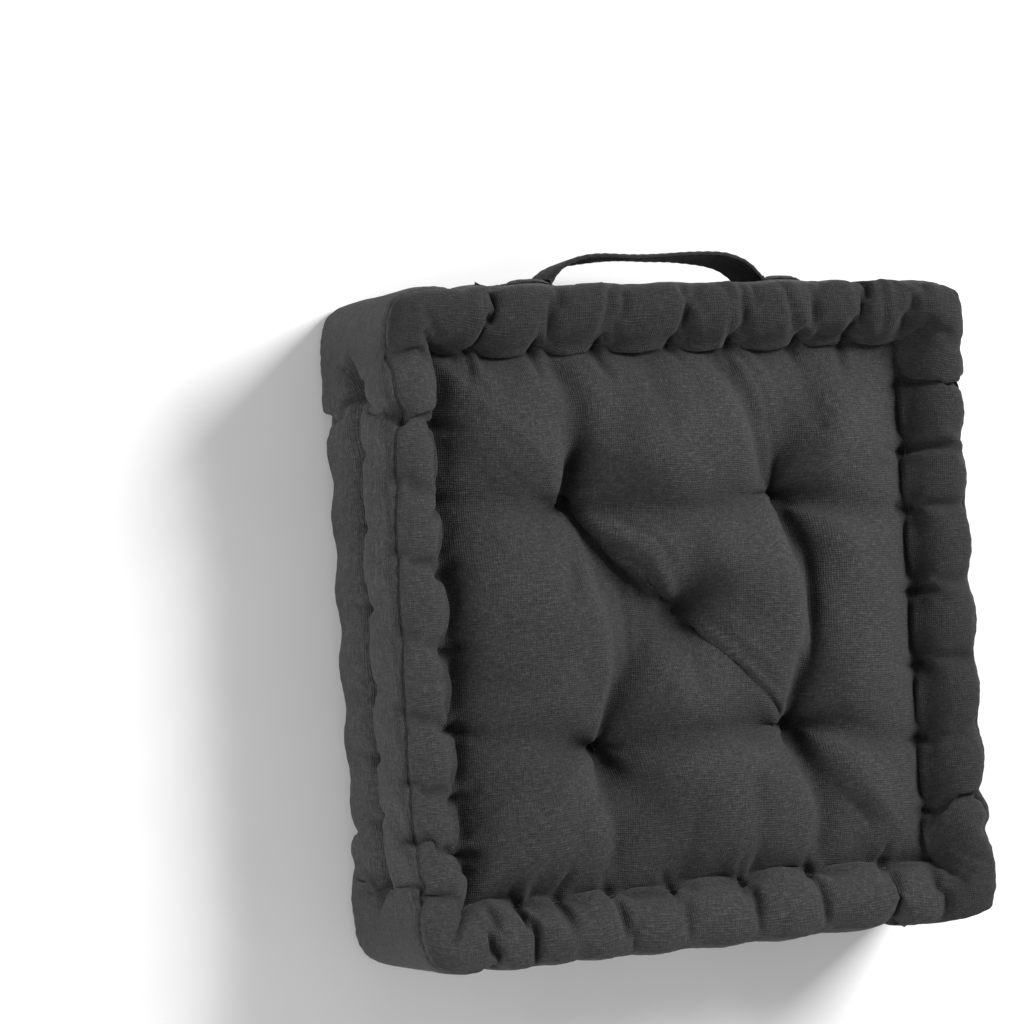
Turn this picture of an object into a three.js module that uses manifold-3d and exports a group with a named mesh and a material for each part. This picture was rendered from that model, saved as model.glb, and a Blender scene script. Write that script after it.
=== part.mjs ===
// Square tufted floor cushion, lying flat: a boxed woven cover over loose fibre,
// five through-tufts, a hand-stitched roll along both faces of the rim and a
// fabric carrying handle on one side. Millimetres, +Z up, the rim of the handle
// side faces +Y, origin at the centre of the bounding box on the floor.

import * as THREE from 'three';
import { mergeVertices } from 'three/addons/utils/BufferGeometryUtils.js';
import Module from 'manifold-3d';

const wasm = await Module();
wasm.setup();

// ---------------------------------------------------------------- dimensions
const SEAM_HALF = 202;          // half width of the cushion at the perimeter seams
const HEIGHT = 100;             // floor to the crest of the upper roll
const MID = HEIGHT / 2;         // height of the stitch line round the side
const CORNER_R = 30;            // plan radius of the corners at the seams
const GROOVE_HALF = 165;        // half width of the groove inside each roll
const COVER_T = 1.2;            // cover fabric with its interlining
const GAP = 0.3;                // clearance between touching pieces

const TUFTS = [[-73, 70], [72, 72], [-4, 2], [-62, -77], [72, -72]];  // sewn by hand, not quite square
const TUFT_TOP = 60;            // height of the upper dimple floors
const TUFT_R = 3.5;             // radius of a dimple floor
const DIMPLE_R = 30;            // radius of a dimple at the face
const TIE_R = 0.8;              // tuft twine
const KNOT_R = 2.6;             // tuft knots
const KNOT_H = 2.4;

const TWINE_R = 0.9;            // roll stitching twine
const TWINE_BED = 1.35;         // twine centre above the cloth it binds
const CHANNEL_R = 1.35;         // hole left in cloth and fibre for a roll twine
const STITCH = 5;               // length of each stitch lying on the cloth
// Roll stitches along each side, by their X or Y: hand spaced.
const FACE_TIES = {
  right: [-134, -86, -41, 6, 57, 96, 141], back: [-140, -94, -50, 0, 42, 90, 128],
  left: [-135, -99, -57, -12, 34, 78, 124], front: [-128, -99, -63, -22, 26, 77, 133],
};
const SIDE_TIES = {
  right: [-152, -122, -74, -29, 18, 69, 108, 150], back: [-152, -112, -62, -12, 30, 68, 116, 152],
  left: [-145, -109, -71, -32, 19, 67, 106, 145], front: [-152, -116, -87, -51, -10, 38, 89, 142],
};
const SIDE_ROW = 2;             // upper and lower rows sit this far from mid height

const HANDLE_W = 36;            // strap width, along Z
const HANDLE_T = 3;             // strap thickness, four folds of cloth
const HANDLE_SPAN = 144;        // free span between the sewn ends
const HANDLE_REACH = 222.5;     // centre line of the strap from the cushion centre
const HINGE_Y = 208;            // line the loop swings about, cushion centre = 0
const HANDLE_NECK = 2.8;        // half width of the strap on the hinge line
const TAB_IN = 75;              // sewn ends run from here...
const TAB_OUT = 100;            // ...to here along X
const TAB_T = 2;
const THREAD_T = 0.6;           // stitching thread lying on a surface
const SEAM_R = 0.6;             // perimeter seam thread

const SIDE_MAX = 205.5;         // widest point of the side
const SIDE_MID = 200;           // half width at the stitch line
const SIDE_BULGE = 26;          // height of the widest point from the stitch line
const CUSHION_Y = -(HANDLE_REACH + HANDLE_T / 2 - SIDE_MAX) / 2;

// ---------------------------------------------------------------- materials
const cloth = () => new THREE.MeshStandardMaterial({ color: 0x504e4f, roughness: 0.95, metalness: 0 });
const fibre = () => new THREE.MeshStandardMaterial({ color: 0xdedad0, roughness: 1.0, metalness: 0 });
const twine = () => new THREE.MeshStandardMaterial({ color: 0x3a3837, roughness: 0.8, metalness: 0 });
const thread = () => new THREE.MeshStandardMaterial({ color: 0x353434, roughness: 0.7, metalness: 0 });

// ---------------------------------------------------------------- solids
function toSolid(geometry) {
  let g = geometry.clone();
  g.deleteAttribute('normal');
  g.deleteAttribute('uv');
  g = mergeVertices(g, 1e-4);
  const tri = [];
  const ix = g.index.array;
  for (let i = 0; i < ix.length; i += 3) {
    const [a, b, c] = [ix[i], ix[i + 1], ix[i + 2]];
    if (a !== b && b !== c && c !== a) tri.push(a, b, c);
  }
  const build = (t) => new wasm.Manifold(new wasm.Mesh({
    numProp: 3,
    vertProperties: new Float32Array(g.attributes.position.array),
    triVerts: new Uint32Array(t),
  }));
  const solid = build(tri);
  if (solid.volume() > 0) return solid;
  for (let i = 0; i < tri.length; i += 3) [tri[i], tri[i + 1]] = [tri[i + 1], tri[i]];
  return build(tri);
}

function toGeometry(solid) {
  const m = solid.getMesh();
  const g = new THREE.BufferGeometry();
  const p = new Float32Array((m.vertProperties.length / m.numProp) * 3);
  for (let i = 0; i < p.length / 3; i++) {
    for (let k = 0; k < 3; k++) p[3 * i + k] = m.vertProperties[m.numProp * i + k];
  }
  g.setAttribute('position', new THREE.BufferAttribute(p, 3));
  g.setIndex(new THREE.BufferAttribute(new Uint32Array(m.triVerts), 1));
  g.computeVertexNormals();
  return g;
}

const cushion = new THREE.Group();
cushion.position.set(0, CUSHION_Y, 0);

function piece(name, solid, material) {
  const mesh = new THREE.Mesh(toGeometry(solid), material);
  mesh.name = name;
  cushion.add(mesh);
  return mesh;
}

// A square with rounded corners, walked by an index from 0 to 4 * (RUN + ARC).
const RUN = 1;
const ARC = 3;
const AROUND = 4 * (RUN + ARC);

function planPoint(half, k) {
  const radius = Math.max(0, Math.min(half, CORNER_R - (SEAM_HALF - half) * 0.45));
  const straight = half - radius;
  const quarter = Math.floor(k / (RUN + ARC)) % 4;
  const step = k % (RUN + ARC);
  let x = half;
  let y;
  if (step <= RUN) {
    y = -straight + (2 * straight * step) / RUN;
  } else {
    const a = ((step - RUN) / ARC) * (Math.PI / 2);
    x = straight + radius * Math.cos(a);
    y = straight + radius * Math.sin(a);
  }
  const turn = (quarter * Math.PI) / 2;
  return [x * Math.cos(turn) - y * Math.sin(turn), x * Math.sin(turn) + y * Math.cos(turn)];
}

// A lathe profile of (half width, height) points swept round the square plan.
function squareLathe(profile) {
  const g = new THREE.LatheGeometry(profile.map(([s, z]) => new THREE.Vector2(s, z)), AROUND);
  const p = g.attributes.position;
  const n = profile.length;
  for (let i = 0; i < p.count; i++) {
    const around = Math.floor(i / n) % AROUND;
    const [s, z] = profile[i % n];
    const [x, y] = s > 0 ? planPoint(s, around) : [0, 0];
    p.setXYZ(i, x, y, z);
  }
  return toSolid(g);
}

// Move a polyline inwards (to the left of its direction of travel) by d.
function inset(line, d) {
  const out = [];
  for (let i = 0; i < line.length; i++) {
    const a = line[Math.max(0, i - 1)];
    const b = line[i];
    const c = line[Math.min(line.length - 1, i + 1)];
    const n1 = i > 0 ? normal(a, b) : normal(b, c);
    const n2 = i < line.length - 1 ? normal(b, c) : n1;
    const mx = n1[0] + n2[0];
    const mz = n1[1] + n2[1];
    const k = (2 * d) / (mx * mx + mz * mz);
    out.push([b[0] === 0 ? 0 : b[0] + mx * k, b[1] + mz * k]);
  }
  return out;
}

function normal(a, b) {
  const dx = b[0] - a[0];
  const dz = b[1] - a[1];
  const len = Math.hypot(dx, dz);
  return [dz / len, -dx / len];
}

// Outer surface of the cover, from the centre of the upper face to the centre
// of the lower face, as (half width, height).
const upperFace = [
  [0, 96], [152, 96], [GROOVE_HALF, 88], [175, 98.5],
  [184, HEIGHT], [195, 97.5], [201.7, 91.4],
];
const side = [
  [202.3, 90.4], [SIDE_MAX, MID + SIDE_BULGE], [SIDE_MID, MID],
  [SIDE_MAX, MID - SIDE_BULGE], [202.3, 9.6],
];
const lowerFace = [
  [201.7, 8.6], [193, 0], [176, 0], [GROOVE_HALF, 12], [152, 0], [0, 0],
];

// Half width of the side at height h from its stitch line.
function sideAt(h) {
  return SIDE_MID + ((SIDE_MAX - SIDE_MID) * Math.abs(h)) / SIDE_BULGE;
}

function shell(line, thickness) {
  return [...line, ...inset(line, thickness).reverse()];
}

let topPanel = squareLathe(shell(upperFace, COVER_T));
let bottomPanel = squareLathe([...inset(lowerFace, COVER_T).reverse(), ...lowerFace]);
const bandLine = shell(side, COVER_T);
let band = squareLathe([...bandLine, bandLine[0]]);
let fill = squareLathe(inset([...upperFace, ...side.slice(1, -1), ...lowerFace], COVER_T + GAP));

// ---------------------------------------------------------------- tufts
const tufts = TUFTS;

// A round solid about a vertical axis at (x, y).
function turned(profile, x, y, segments) {
  const g = new THREE.LatheGeometry(profile.map(([r, z]) => new THREE.Vector2(r, z)), segments);
  g.rotateX(Math.PI / 2);
  g.translate(x, y, 0);
  return toSolid(g);
}

// Dimple of the cloth surface grown by d; up = +1 on the upper face.
function dimple(x, y, d, up) {
  const face = up > 0 ? 96 : 0;
  const floor = up > 0 ? TUFT_TOP : HEIGHT - TUFT_TOP;
  const z = (v) => floor + up * v;
  const deep = Math.abs(face - floor);
  const top = d > 0 ? deep - COVER_T / 2 : deep + 2;
  return turned([
    [0, z(-d)], [TUFT_R + d * 0.8, z(-d)], [12 + d * 0.9, z(deep * 0.56 - d * 0.5)],
    [DIMPLE_R + d * 0.5, z(deep - d)], [DIMPLE_R + d * 0.5, z(top)], [0, z(top)],
  ], x, y, 8);
}

tufts.forEach(([x, y], i) => {
  const hole = turned([[0, -5], [TIE_R + GAP + 0.1, -5], [TIE_R + GAP + 0.1, HEIGHT + 5], [0, HEIGHT + 5]], x, y, 6);
  topPanel = topPanel.add(dimple(x, y, COVER_T, 1)).subtract(dimple(x, y, 0, 1)).subtract(hole);
  bottomPanel = bottomPanel.add(dimple(x, y, COVER_T, -1)).subtract(dimple(x, y, 0, -1)).subtract(hole);
  const up = TUFT_TOP + GAP;
  const down = HEIGHT - TUFT_TOP - GAP;
  piece(`tuft_tie_${i + 1}`, turned([
    [0, up + KNOT_H], [KNOT_R * 0.7, up + KNOT_H], [KNOT_R, up + KNOT_H / 2], [KNOT_R * 0.7, up], [TIE_R, up],
    [TIE_R, down], [KNOT_R * 0.7, down], [KNOT_R, down - KNOT_H / 2], [KNOT_R * 0.7, down - KNOT_H], [0, down - KNOT_H],
  ], x, y, 8), twine());
});

// The fibre gives way round every dimple and tie.
tufts.forEach(([x, y]) => {
  const open = (up) => {
    const face = up > 0 ? 96 : 0;
    const floor = up > 0 ? TUFT_TOP : HEIGHT - TUFT_TOP;
    const d = COVER_T + GAP;
    const z = (v) => floor + up * v;
    const deep = Math.abs(face - floor);
    return turned([
      [0, z(-d)], [TUFT_R + d * 0.8 + 0.1, z(-d)], [12 + d * 0.9 + 0.15, z(deep * 0.56 - d * 0.5)],
      [DIMPLE_R + d * 0.5 + 0.3, z(deep - d)], [DIMPLE_R + d * 0.5 + 0.3, z(deep + 2)], [0, z(deep + 2)],
    ], x, y, 8);
  };
  fill = fill.subtract(open(1)).subtract(open(-1)).subtract(
    turned([[0, -5], [TIE_R + GAP + 0.1, -5], [TIE_R + GAP + 0.1, HEIGHT + 5], [0, HEIGHT + 5]], x, y, 6));
});

// ---------------------------------------------------------------- roll twines
// A path of straight runs, with one step from each point to the next.
class Polyline extends THREE.Curve {
  constructor(points) {
    super();
    this.points = points;
  }
  getPoint(t, target = new THREE.Vector3()) {
    const last = this.points.length - 1;
    const f = Math.min(Math.max(t, 0), 1) * last;
    const i = Math.min(Math.floor(f), last - 1);
    return target.lerpVectors(this.points[i], this.points[i + 1], f - i);
  }
  getPointAt(u, target) {
    return this.getPoint(u, target);
  }
  getTangentAt(u, target) {
    return this.getTangent(u, target);
  }
}

function tube(points, radius, sides) {
  const section = new THREE.Shape();
  for (let i = 0; i < sides; i++) {
    const a = ((i + 0.5) / sides) * 2 * Math.PI;
    if (i === 0) section.moveTo(radius * Math.cos(a), radius * Math.sin(a));
    else section.lineTo(radius * Math.cos(a), radius * Math.sin(a));
  }
  section.closePath();
  const path = new Polyline(points);
  return toSolid(new THREE.ExtrudeGeometry(section, { steps: points.length - 1, bevelEnabled: false, extrudePath: path }));
}

// One side's twine in the frame of the +X side: a stitch lying in the groove of
// the face, then through the fibre to a stitch on the side, and so on.
function rollPath(up, name) {
  const zFace = up > 0 ? 88 + TWINE_BED : 12 - TWINE_BED;
  const zSide = MID + up * SIDE_ROW;
  const xSide = sideAt(SIDE_ROW) + TWINE_BED;
  const half = STITCH / 2;
  const stitch = (list, x, u, z) => list.push(new THREE.Vector3(x, u - half, z), new THREE.Vector3(x, u + half, z));
  const list = [];
  const turned = name === 'back' || name === 'left';
  const places = (ties) => ties.map((t) => (turned ? -t : t)).sort((a, b) => a - b);
  const face = places(FACE_TIES[name]);
  const flank = places(SIDE_TIES[name]);
  const corner = GROOVE_HALF - 4;
  stitch(list, GROOVE_HALF, -corner + half, zFace);
  for (let i = 0; i < flank.length; i++) {
    stitch(list, xSide, flank[i], zSide);
    if (i < face.length) stitch(list, GROOVE_HALF, face[i], zFace);
  }
  return list;
}

const sides = ['right', 'back', 'left', 'front'];
for (const up of [1, -1]) {
  sides.forEach((name, q) => {
    const turn = (p) => p.clone().applyAxisAngle(new THREE.Vector3(0, 0, 1), (q * Math.PI) / 2);
    const path = rollPath(up, name).map(turn);
    const channel = tube(path, CHANNEL_R, 4);
    fill = fill.subtract(channel);
    band = band.subtract(channel);
    if (up > 0) topPanel = topPanel.subtract(channel);
    else bottomPanel = bottomPanel.subtract(channel);
    piece(`${up > 0 ? 'upper' : 'lower'}_roll_twine_${name}`, tube(path, TWINE_R, 4), twine());
  });
}

// ---------------------------------------------------------------- seams
function ring(half, z, r) {
  const line = [];
  for (let i = 0; i <= 5; i++) {
    const a = (i / 5) * 2 * Math.PI;
    line.push([half + r * Math.cos(a), z + r * Math.sin(a)]);
  }
  line[5] = line[0];
  return squareLathe(line);
}

piece('top_panel', topPanel, cloth());
piece('bottom_panel', bottomPanel, cloth());
piece('side_band', band, cloth());
piece('fibre_filling', fill, fibre());
piece('upper_seam_thread', ring(203.2, 91.9, SEAM_R), thread());
piece('lower_seam_thread', ring(203.2, 8.1, SEAM_R), thread());

// ---------------------------------------------------------------- handle
// Outline of a solid in the Y-Z plane, drawn out along X.
function drawnAlongX(points, x0, x1) {
  const shape = new THREE.Shape(points.map(([y, z]) => new THREE.Vector2(y, z)));
  const g = new THREE.ExtrudeGeometry(shape, { depth: x1 - x0, bevelEnabled: false });
  g.applyMatrix4(new THREE.Matrix4().set(0, 0, 1, x0, 1, 0, 0, 0, 0, 1, 0, 0, 0, 0, 0, 1));
  return toSolid(g);
}

// The cloth of the side behind the handle, pushed out by d.
function behind(d) {
  const h = HANDLE_W / 2;
  return [[sideAt(h), MID - h], [SIDE_MID, MID], [sideAt(h), MID + h]].map(([y, z]) => [y + d, z]);
}

function layer(near, far, x0, x1) {
  return drawnAlongX([...behind(near), ...behind(far).reverse()], x0, x1);
}

for (const [name, sign] of [['left', -1], ['right', 1]]) {
  const x0 = sign > 0 ? TAB_IN : -TAB_OUT;
  const x1 = sign > 0 ? TAB_OUT : -TAB_IN;
  piece(`handle_end_${name}`, layer(GAP + 0.05, GAP + TAB_T, x0, x1), cloth());

  // Box stitch with its cross, lying on the sewn end.
  const mid = (x0 + x1) / 2;
  const bx = (TAB_OUT - TAB_IN) / 2 - 3;
  const bz = HANDLE_W / 2 - 4;
  const box = new THREE.Shape([
    new THREE.Vector2(-bx, -bz), new THREE.Vector2(bx, -bz), new THREE.Vector2(bx, bz), new THREE.Vector2(-bx, bz),
  ]);
  const w = THREAD_T;
  const fx = bx - w;
  const fz = bz - w;
  const c = w * 0.75;
  for (const [sx, sz, along] of [[0, 1, 0], [0, -1, 0], [1, 0, 1], [-1, 0, 1]]) {
    const k = fz / fx;
    const hole = along
      ? [[sx * c, 0], [sx * fx, (fx - c) * k], [sx * fx, -(fx - c) * k]]
      : [[0, sz * c * k], [fx - c, sz * fz], [-(fx - c), sz * fz]];
    box.holes.push(new THREE.Path(hole.map(([a, b]) => new THREE.Vector2(a, b))));
  }
  const g = new THREE.ExtrudeGeometry(box, { depth: 30, bevelEnabled: false });
  g.applyMatrix4(new THREE.Matrix4().set(1, 0, 0, mid, 0, 0, 1, 190, 0, 1, 0, MID, 0, 0, 0, 1));
  const lace = layer(2 * GAP + TAB_T, 2 * GAP + TAB_T + THREAD_T, x0, x1).intersect(toSolid(g));
  piece(`handle_stitch_${name}`, lace, thread());
}

// The free loop: a folded strap bowed out from the side, its cloth gathered
// towards the hinge line so that it can swing up and down.
const s = HANDLE_SPAN / 2;
const bow = [
  [-s, 209.6], [-s + 4.5, 213.6], [-s + 12, 217.8], [-s + 25, 220.9], [-25, 222.2], [0, HANDLE_REACH],
  [25, 222.2], [s - 25, 220.9], [s - 12, 217.8], [s - 4.5, 213.6], [s, 209.6],
];
const loop = new THREE.Shape([...offset(bow, HANDLE_T / 2), ...offset(bow, -HANDLE_T / 2).reverse()]
  .map(([x, y]) => new THREE.Vector2(x, y)));

function offset(line, d) {
  return inset(line, d);
}

const bar = new THREE.ExtrudeGeometry(loop, { depth: HANDLE_W, bevelEnabled: false });
bar.translate(0, 0, MID - HANDLE_W / 2);
const flare = HANDLE_W / 2 - HANDLE_NECK;
const gather = drawnAlongX([
  [HINGE_Y, MID - HANDLE_NECK], [HINGE_Y + flare, MID - HANDLE_W / 2 - 1], [HANDLE_REACH + 10, MID - HANDLE_W / 2 - 1],
  [HANDLE_REACH + 10, MID + HANDLE_W / 2 + 1], [HINGE_Y + flare, MID + HANDLE_W / 2 + 1], [HINGE_Y, MID + HANDLE_NECK],
], -s - 10, s + 10);
piece('handle_strap', toSolid(bar).intersect(gather), cloth());

export default cushion;
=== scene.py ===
import math

import bpy
import numpy as np
from mathutils import Matrix, Vector
from mathutils.bvhtree import BVHTree


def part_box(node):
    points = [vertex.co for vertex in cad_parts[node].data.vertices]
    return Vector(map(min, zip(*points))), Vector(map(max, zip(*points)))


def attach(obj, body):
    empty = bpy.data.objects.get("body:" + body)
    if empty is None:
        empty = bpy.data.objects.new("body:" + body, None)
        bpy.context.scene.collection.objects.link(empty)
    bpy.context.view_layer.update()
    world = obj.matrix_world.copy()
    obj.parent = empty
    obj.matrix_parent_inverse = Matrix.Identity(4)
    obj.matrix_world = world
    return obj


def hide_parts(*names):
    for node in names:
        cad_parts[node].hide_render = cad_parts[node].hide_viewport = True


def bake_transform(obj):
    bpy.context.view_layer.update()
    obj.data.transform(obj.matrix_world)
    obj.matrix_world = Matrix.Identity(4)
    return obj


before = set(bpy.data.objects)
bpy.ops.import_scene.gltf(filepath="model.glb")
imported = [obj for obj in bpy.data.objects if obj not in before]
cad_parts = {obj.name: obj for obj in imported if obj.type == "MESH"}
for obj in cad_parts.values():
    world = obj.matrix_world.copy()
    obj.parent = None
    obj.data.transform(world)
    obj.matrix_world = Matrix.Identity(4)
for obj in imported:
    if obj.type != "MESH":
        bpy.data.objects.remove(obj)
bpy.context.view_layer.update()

scene = bpy.context.scene

# The cushion's own axis stands at x = 0, y = OY: everything below is laid out
# about that axis, in metres, and moved by OY when its mesh is made.
band_lo, band_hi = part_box("side_band")
OY = (band_lo.y + band_hi.y) / 2
HALF_Z = 0.050                  # height of the stitch line round the side

# ------------------------------------------------------------------ cloth plan
CELLS = 72                      # cells across a face panel
PANEL = 0.217                   # half width of a face panel, flat
ROLL = 0.051                    # flat cloth from the groove to the seam
BAND = 0.050                    # half width of the side band, flat
GROOVE = 0.168                  # the groove lies this far from the middle
GROOVE_Z = 0.077                # height of the groove stitches
SIDE_IN = 0.186                 # the side stitches pull the side in to here
TUFT_Z = 0.060                  # height of the upper tuft knots

# Places of the stitches along each side, in millimetres.
FACE_TIES = {
    "left": [124, 78, 34, -12, -57, -99, -135],
    "right": [141, 96, 57, 6, -41, -86, -134],
    "back": [-140, -94, -50, 0, 42, 90, 128],
    "front": [-128, -99, -63, -22, 26, 77, 133],
}
SIDE_TIES = {
    "left": [145, 106, 67, 19, -32, -71, -109, -145],
    "right": [150, 108, 69, 18, -29, -74, -122, -152],
    "back": [-152, -112, -62, -12, 30, 68, 116, 152],
    "front": [-152, -116, -87, -51, -10, 38, 89, 142],
}
SIDES = ["front", "right", "back", "left"]      # walked round from the front left corner
OUTWARD = {"front": (0, -1), "right": (1, 0), "back": (0, 1), "left": (-1, 0)}
TUFTS = [(-73, 70), (72, 72), (-4, 2), (-62, -77), (72, -72)]
HANDLE_PADS = (0.072, 0.103)    # the handle's sewn ends lie between these, along X

# Valleys from a tuft to the groove: start, end, height, bow to the right, strength.
VALLEYS = [
    ((-73, 70), (-92, 166), 86, -6, 0.30), ((-73, 70), (-52, 166), 91, 8, 0.12), ((72, 72), (44, 166), 86, 10, 0.30),
    ((72, 72), (88, 166), 92, 0, 0.12), ((-62, -77), (-34, -166), 86, -10, 0.30), ((-62, -77), (-98, -166), 92, 4, 0.12),
    ((72, -72), (98, -166), 86, -8, 0.30), ((72, -72), (30, -166), 92, 4, 0.12), ((-73, 70), (-166, 78), 92, 0, 0.15),
    ((-62, -77), (-166, -60), 92, 0, 0.15), ((72, 72), (166, 60), 90, 0, 0.18), ((72, -72), (166, -84), 90, 0, 0.18),
]

# Flat cloth to finished face: distance from the middle along a panel.
FLAT = np.array([0, (PANEL - ROLL) * 0.5, PANEL - ROLL - 0.02, PANEL - ROLL, PANEL - ROLL + 0.010,
                 PANEL - ROLL + 0.020, PANEL - ROLL + 0.031, PANEL])
DONE = np.array([0, GROOVE * 0.5, GROOVE - 0.018, GROOVE, 0.174, 0.183, 0.193, 0.2005])


def flat_at(v):
    """The place on the flat panel that ends up at v on the finished face."""
    return np.interp(np.abs(v), DONE, FLAT) * np.sign(v)


def smooth(t):
    t = np.clip(t, 0, 1)
    return t * t * (3 - 2 * t)


# ------------------------------------------------------------------ simulation
def sew_and_fill():
    """Simulates the cover: a boxed cushion cut flat and a little too large, pressed out by its
    filling while its tufts and roll stitches are pulled in. Returns the top grid, the band and
    the bottom grid as arrays of points, and their flat coordinates."""
    n = CELLS + 1
    step = 2 * PANEL / CELLS
    rows = int(round(2 * BAND / step / 2)) * 2
    top = np.arange(n * n).reshape(n, n)
    ring = np.array([(i, 0) for i in range(CELLS)] + [(CELLS, j) for j in range(CELLS)]
                    + [(CELLS - i, CELLS) for i in range(CELLS)] + [(0, CELLS - j) for j in range(CELLS)])
    around = len(ring)
    count = n * n
    band = np.zeros((rows + 1, around), int)
    band[0] = top[ring[:, 0], ring[:, 1]]
    for r in range(1, rows):
        band[r] = np.arange(count, count + around)
        count += around
    bottom = np.full((n, n), -1)
    rim = np.zeros((n, n), bool)
    rim[0, :] = rim[-1, :] = rim[:, 0] = rim[:, -1] = True
    band[rows] = np.arange(count, count + around)
    count += around
    bottom[ring[:, 0], ring[:, 1]] = band[rows]
    inner = np.where(~rim)
    bottom[inner] = np.arange(count, count + len(inner[0]))
    count += len(inner[0])

    def quads(a, b, c, d):
        return np.stack([a.ravel(), b.ravel(), c.ravel(), d.ravel()], 1)

    turned = np.roll(band, -1, axis=1)
    faces = np.concatenate([
        quads(top[:-1, :-1], top[1:, :-1], top[1:, 1:], top[:-1, 1:]),
        quads(band[1:, :], turned[1:, :], turned[:-1, :], band[:-1, :]),
        quads(bottom[:-1, :-1], bottom[:-1, 1:], bottom[1:, 1:], bottom[1:, :-1]),
    ])
    line = np.linspace(-PANEL, PANEL, n)
    U, V = np.meshgrid(line, line, indexing="ij")

    # the cut and sewn box before filling
    flat = np.zeros((count, 3))
    r = 0.008
    a = np.clip((abs(U) - (PANEL - r)) / r, 0, 1)
    b = np.clip((abs(V) - (PANEL - r)) / r, 0, 1)
    k = np.maximum(a, b) / np.maximum(np.hypot(a, b), 1e-9)
    both = (a > 0) & (b > 0)
    X = np.where(both, np.sign(U) * ((PANEL - r) + a * k * r), U)
    Y = np.where(both, np.sign(V) * ((PANEL - r) + b * k * r), V)
    flat[top.ravel()] = np.stack([X.ravel(), Y.ravel(), np.full(U.size, BAND)], 1)
    flat[bottom.ravel()] = np.stack([X.ravel(), Y.ravel(), np.full(U.size, -BAND)], 1)
    for r in range(1, rows):
        q = flat[band[0]].copy()
        q[:, 2] = BAND - 2 * BAND * r / rows
        flat[band[r]] = q

    # stitches: points held hard, each with its place on the finished cushion
    held = {}

    def cell(v):
        return int(round((v + PANEL) / step))

    def hold_face(x, y, z):
        for grid, height in ((top, z), (bottom, 2 * HALF_Z - z)):
            held[int(grid[cell(flat_at(x)), cell(flat_at(y))])] = (x, y, height)

    def on_face(side, along, out=GROOVE):
        o = OUTWARD[side]
        return (o[0] * out + abs(o[1]) * along, o[1] * out + abs(o[0]) * along)

    def band_column(side, k):
        """Column of the band at cell k along the side, counted with growing x or y."""
        s = SIDES.index(side)
        return (s * CELLS + (k if s < 2 else CELLS - k)) % around

    for side, ties in FACE_TIES.items():
        for t in ties:
            x, y = on_face(side, t / 1000)
            hold_face(x, y, GROOVE_Z)
            x1, y1 = on_face(side, t / 1000 + 0.003)
            o = OUTWARD[side]
            i, j = cell(flat_at(x)), cell(flat_at(y))
            i1, j1 = (i, j + 1) if o[0] else (i + 1, j)
            for grid, height in ((top, GROOVE_Z), (bottom, 2 * HALF_Z - GROOVE_Z)):
                held.setdefault(int(grid[i1, j1]), (x1, y1, height))
    for sx in (-1, 1):
        for sy in (-1, 1):
            hold_face(sx * 0.165, sy * 0.165, GROOVE_Z)
    for x, y in TUFTS:
        hold_face(x / 1000, y / 1000, TUFT_Z + (0.004 if abs(x) < 10 else 0))
    middle = rows // 2
    for side, ties in SIDE_TIES.items():
        for t in ties:
            k = cell(flat_at(t / 1000))
            for more in (0, 1):
                x, y = on_face(side, t / 1000 + 0.003 * more, SIDE_IN)
                held.setdefault(int(band[middle, band_column(side, k + more)]), (x, y, HALF_Z))

    # between stitches the cloth is led, softly, along the row
    led = {}

    def lead(where, points, coordinates, ids, out, out_by, shift, shift_by, weight):
        order = np.argsort(where)
        where, points = np.array(where)[order], np.array(points)[order]
        for m, vertex in zip(coordinates, ids):
            if int(vertex) in held or m < where[0] or m > where[-1]:
                continue
            q = np.array([np.interp(m, where, points[:, c]) for c in range(3)])
            k = int(np.clip(np.searchsorted(where, m) - 1, 0, len(where) - 2))
            t = (m - where[k]) / (where[k + 1] - where[k])
            q = q + (np.array(out) * out_by + np.array(shift) * shift_by) * 4 * t * (1 - t)
            led[int(vertex)] = (q, weight)

    j_in = int(round((flat_at(GROOVE) + PANEL) / step))
    for grid, up in ((top, 1), (bottom, -1)):
        z = GROOVE_Z if up > 0 else 2 * HALF_Z - GROOVE_Z
        for side, ties in FACE_TIES.items():
            o = OUTWARD[side]
            stops = [-0.165] + sorted(t / 1000 for t in ties) + [0.165]
            points = [(*on_face(side, s), z) for s in stops]
            k = j_in if sum(o) > 0 else CELLS - j_in
            ids = grid[k, :] if o[0] else grid[:, k]
            lead([flat_at(s) for s in stops], points, line, ids, (0, 0, up), GROOVE_LIFT, (-o[0], -o[1], 0), GROOVE_SCALLOP, GROOVE_HOLD)
    for side, ties in SIDE_TIES.items():
        o = OUTWARD[side]
        stops = sorted(t / 1000 for t in ties)
        points = [(*on_face(side, s, SIDE_IN), HALF_Z) for s in stops]
        ids = [band[middle, band_column(side, k)] for k in range(n)]
        lead([flat_at(s) for s in stops], points, line, ids, (o[0], o[1], 0), 0.006, (0, 0, -1), 0.006, 0.4)
    # the handle's ends are sewn over the row, and hold it out there
    for k in range(n):
        x = float(np.interp(abs(line[k]), FLAT, DONE) * np.sign(line[k]))
        if HANDLE_PADS[0] - 0.004 < abs(x) < HANDLE_PADS[1] + 0.004:
            for row, y, w in ((middle, 0.1985, 0.8), (middle - 2, 0.2005, 0.3), (middle + 2, 0.2005, 0.3)):
                led[int(band[row, band_column("back", k)])] = (np.array([x, y, 2 * HALF_Z - HALF_Z + (middle - row) * step * 0.95]), w)
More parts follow.
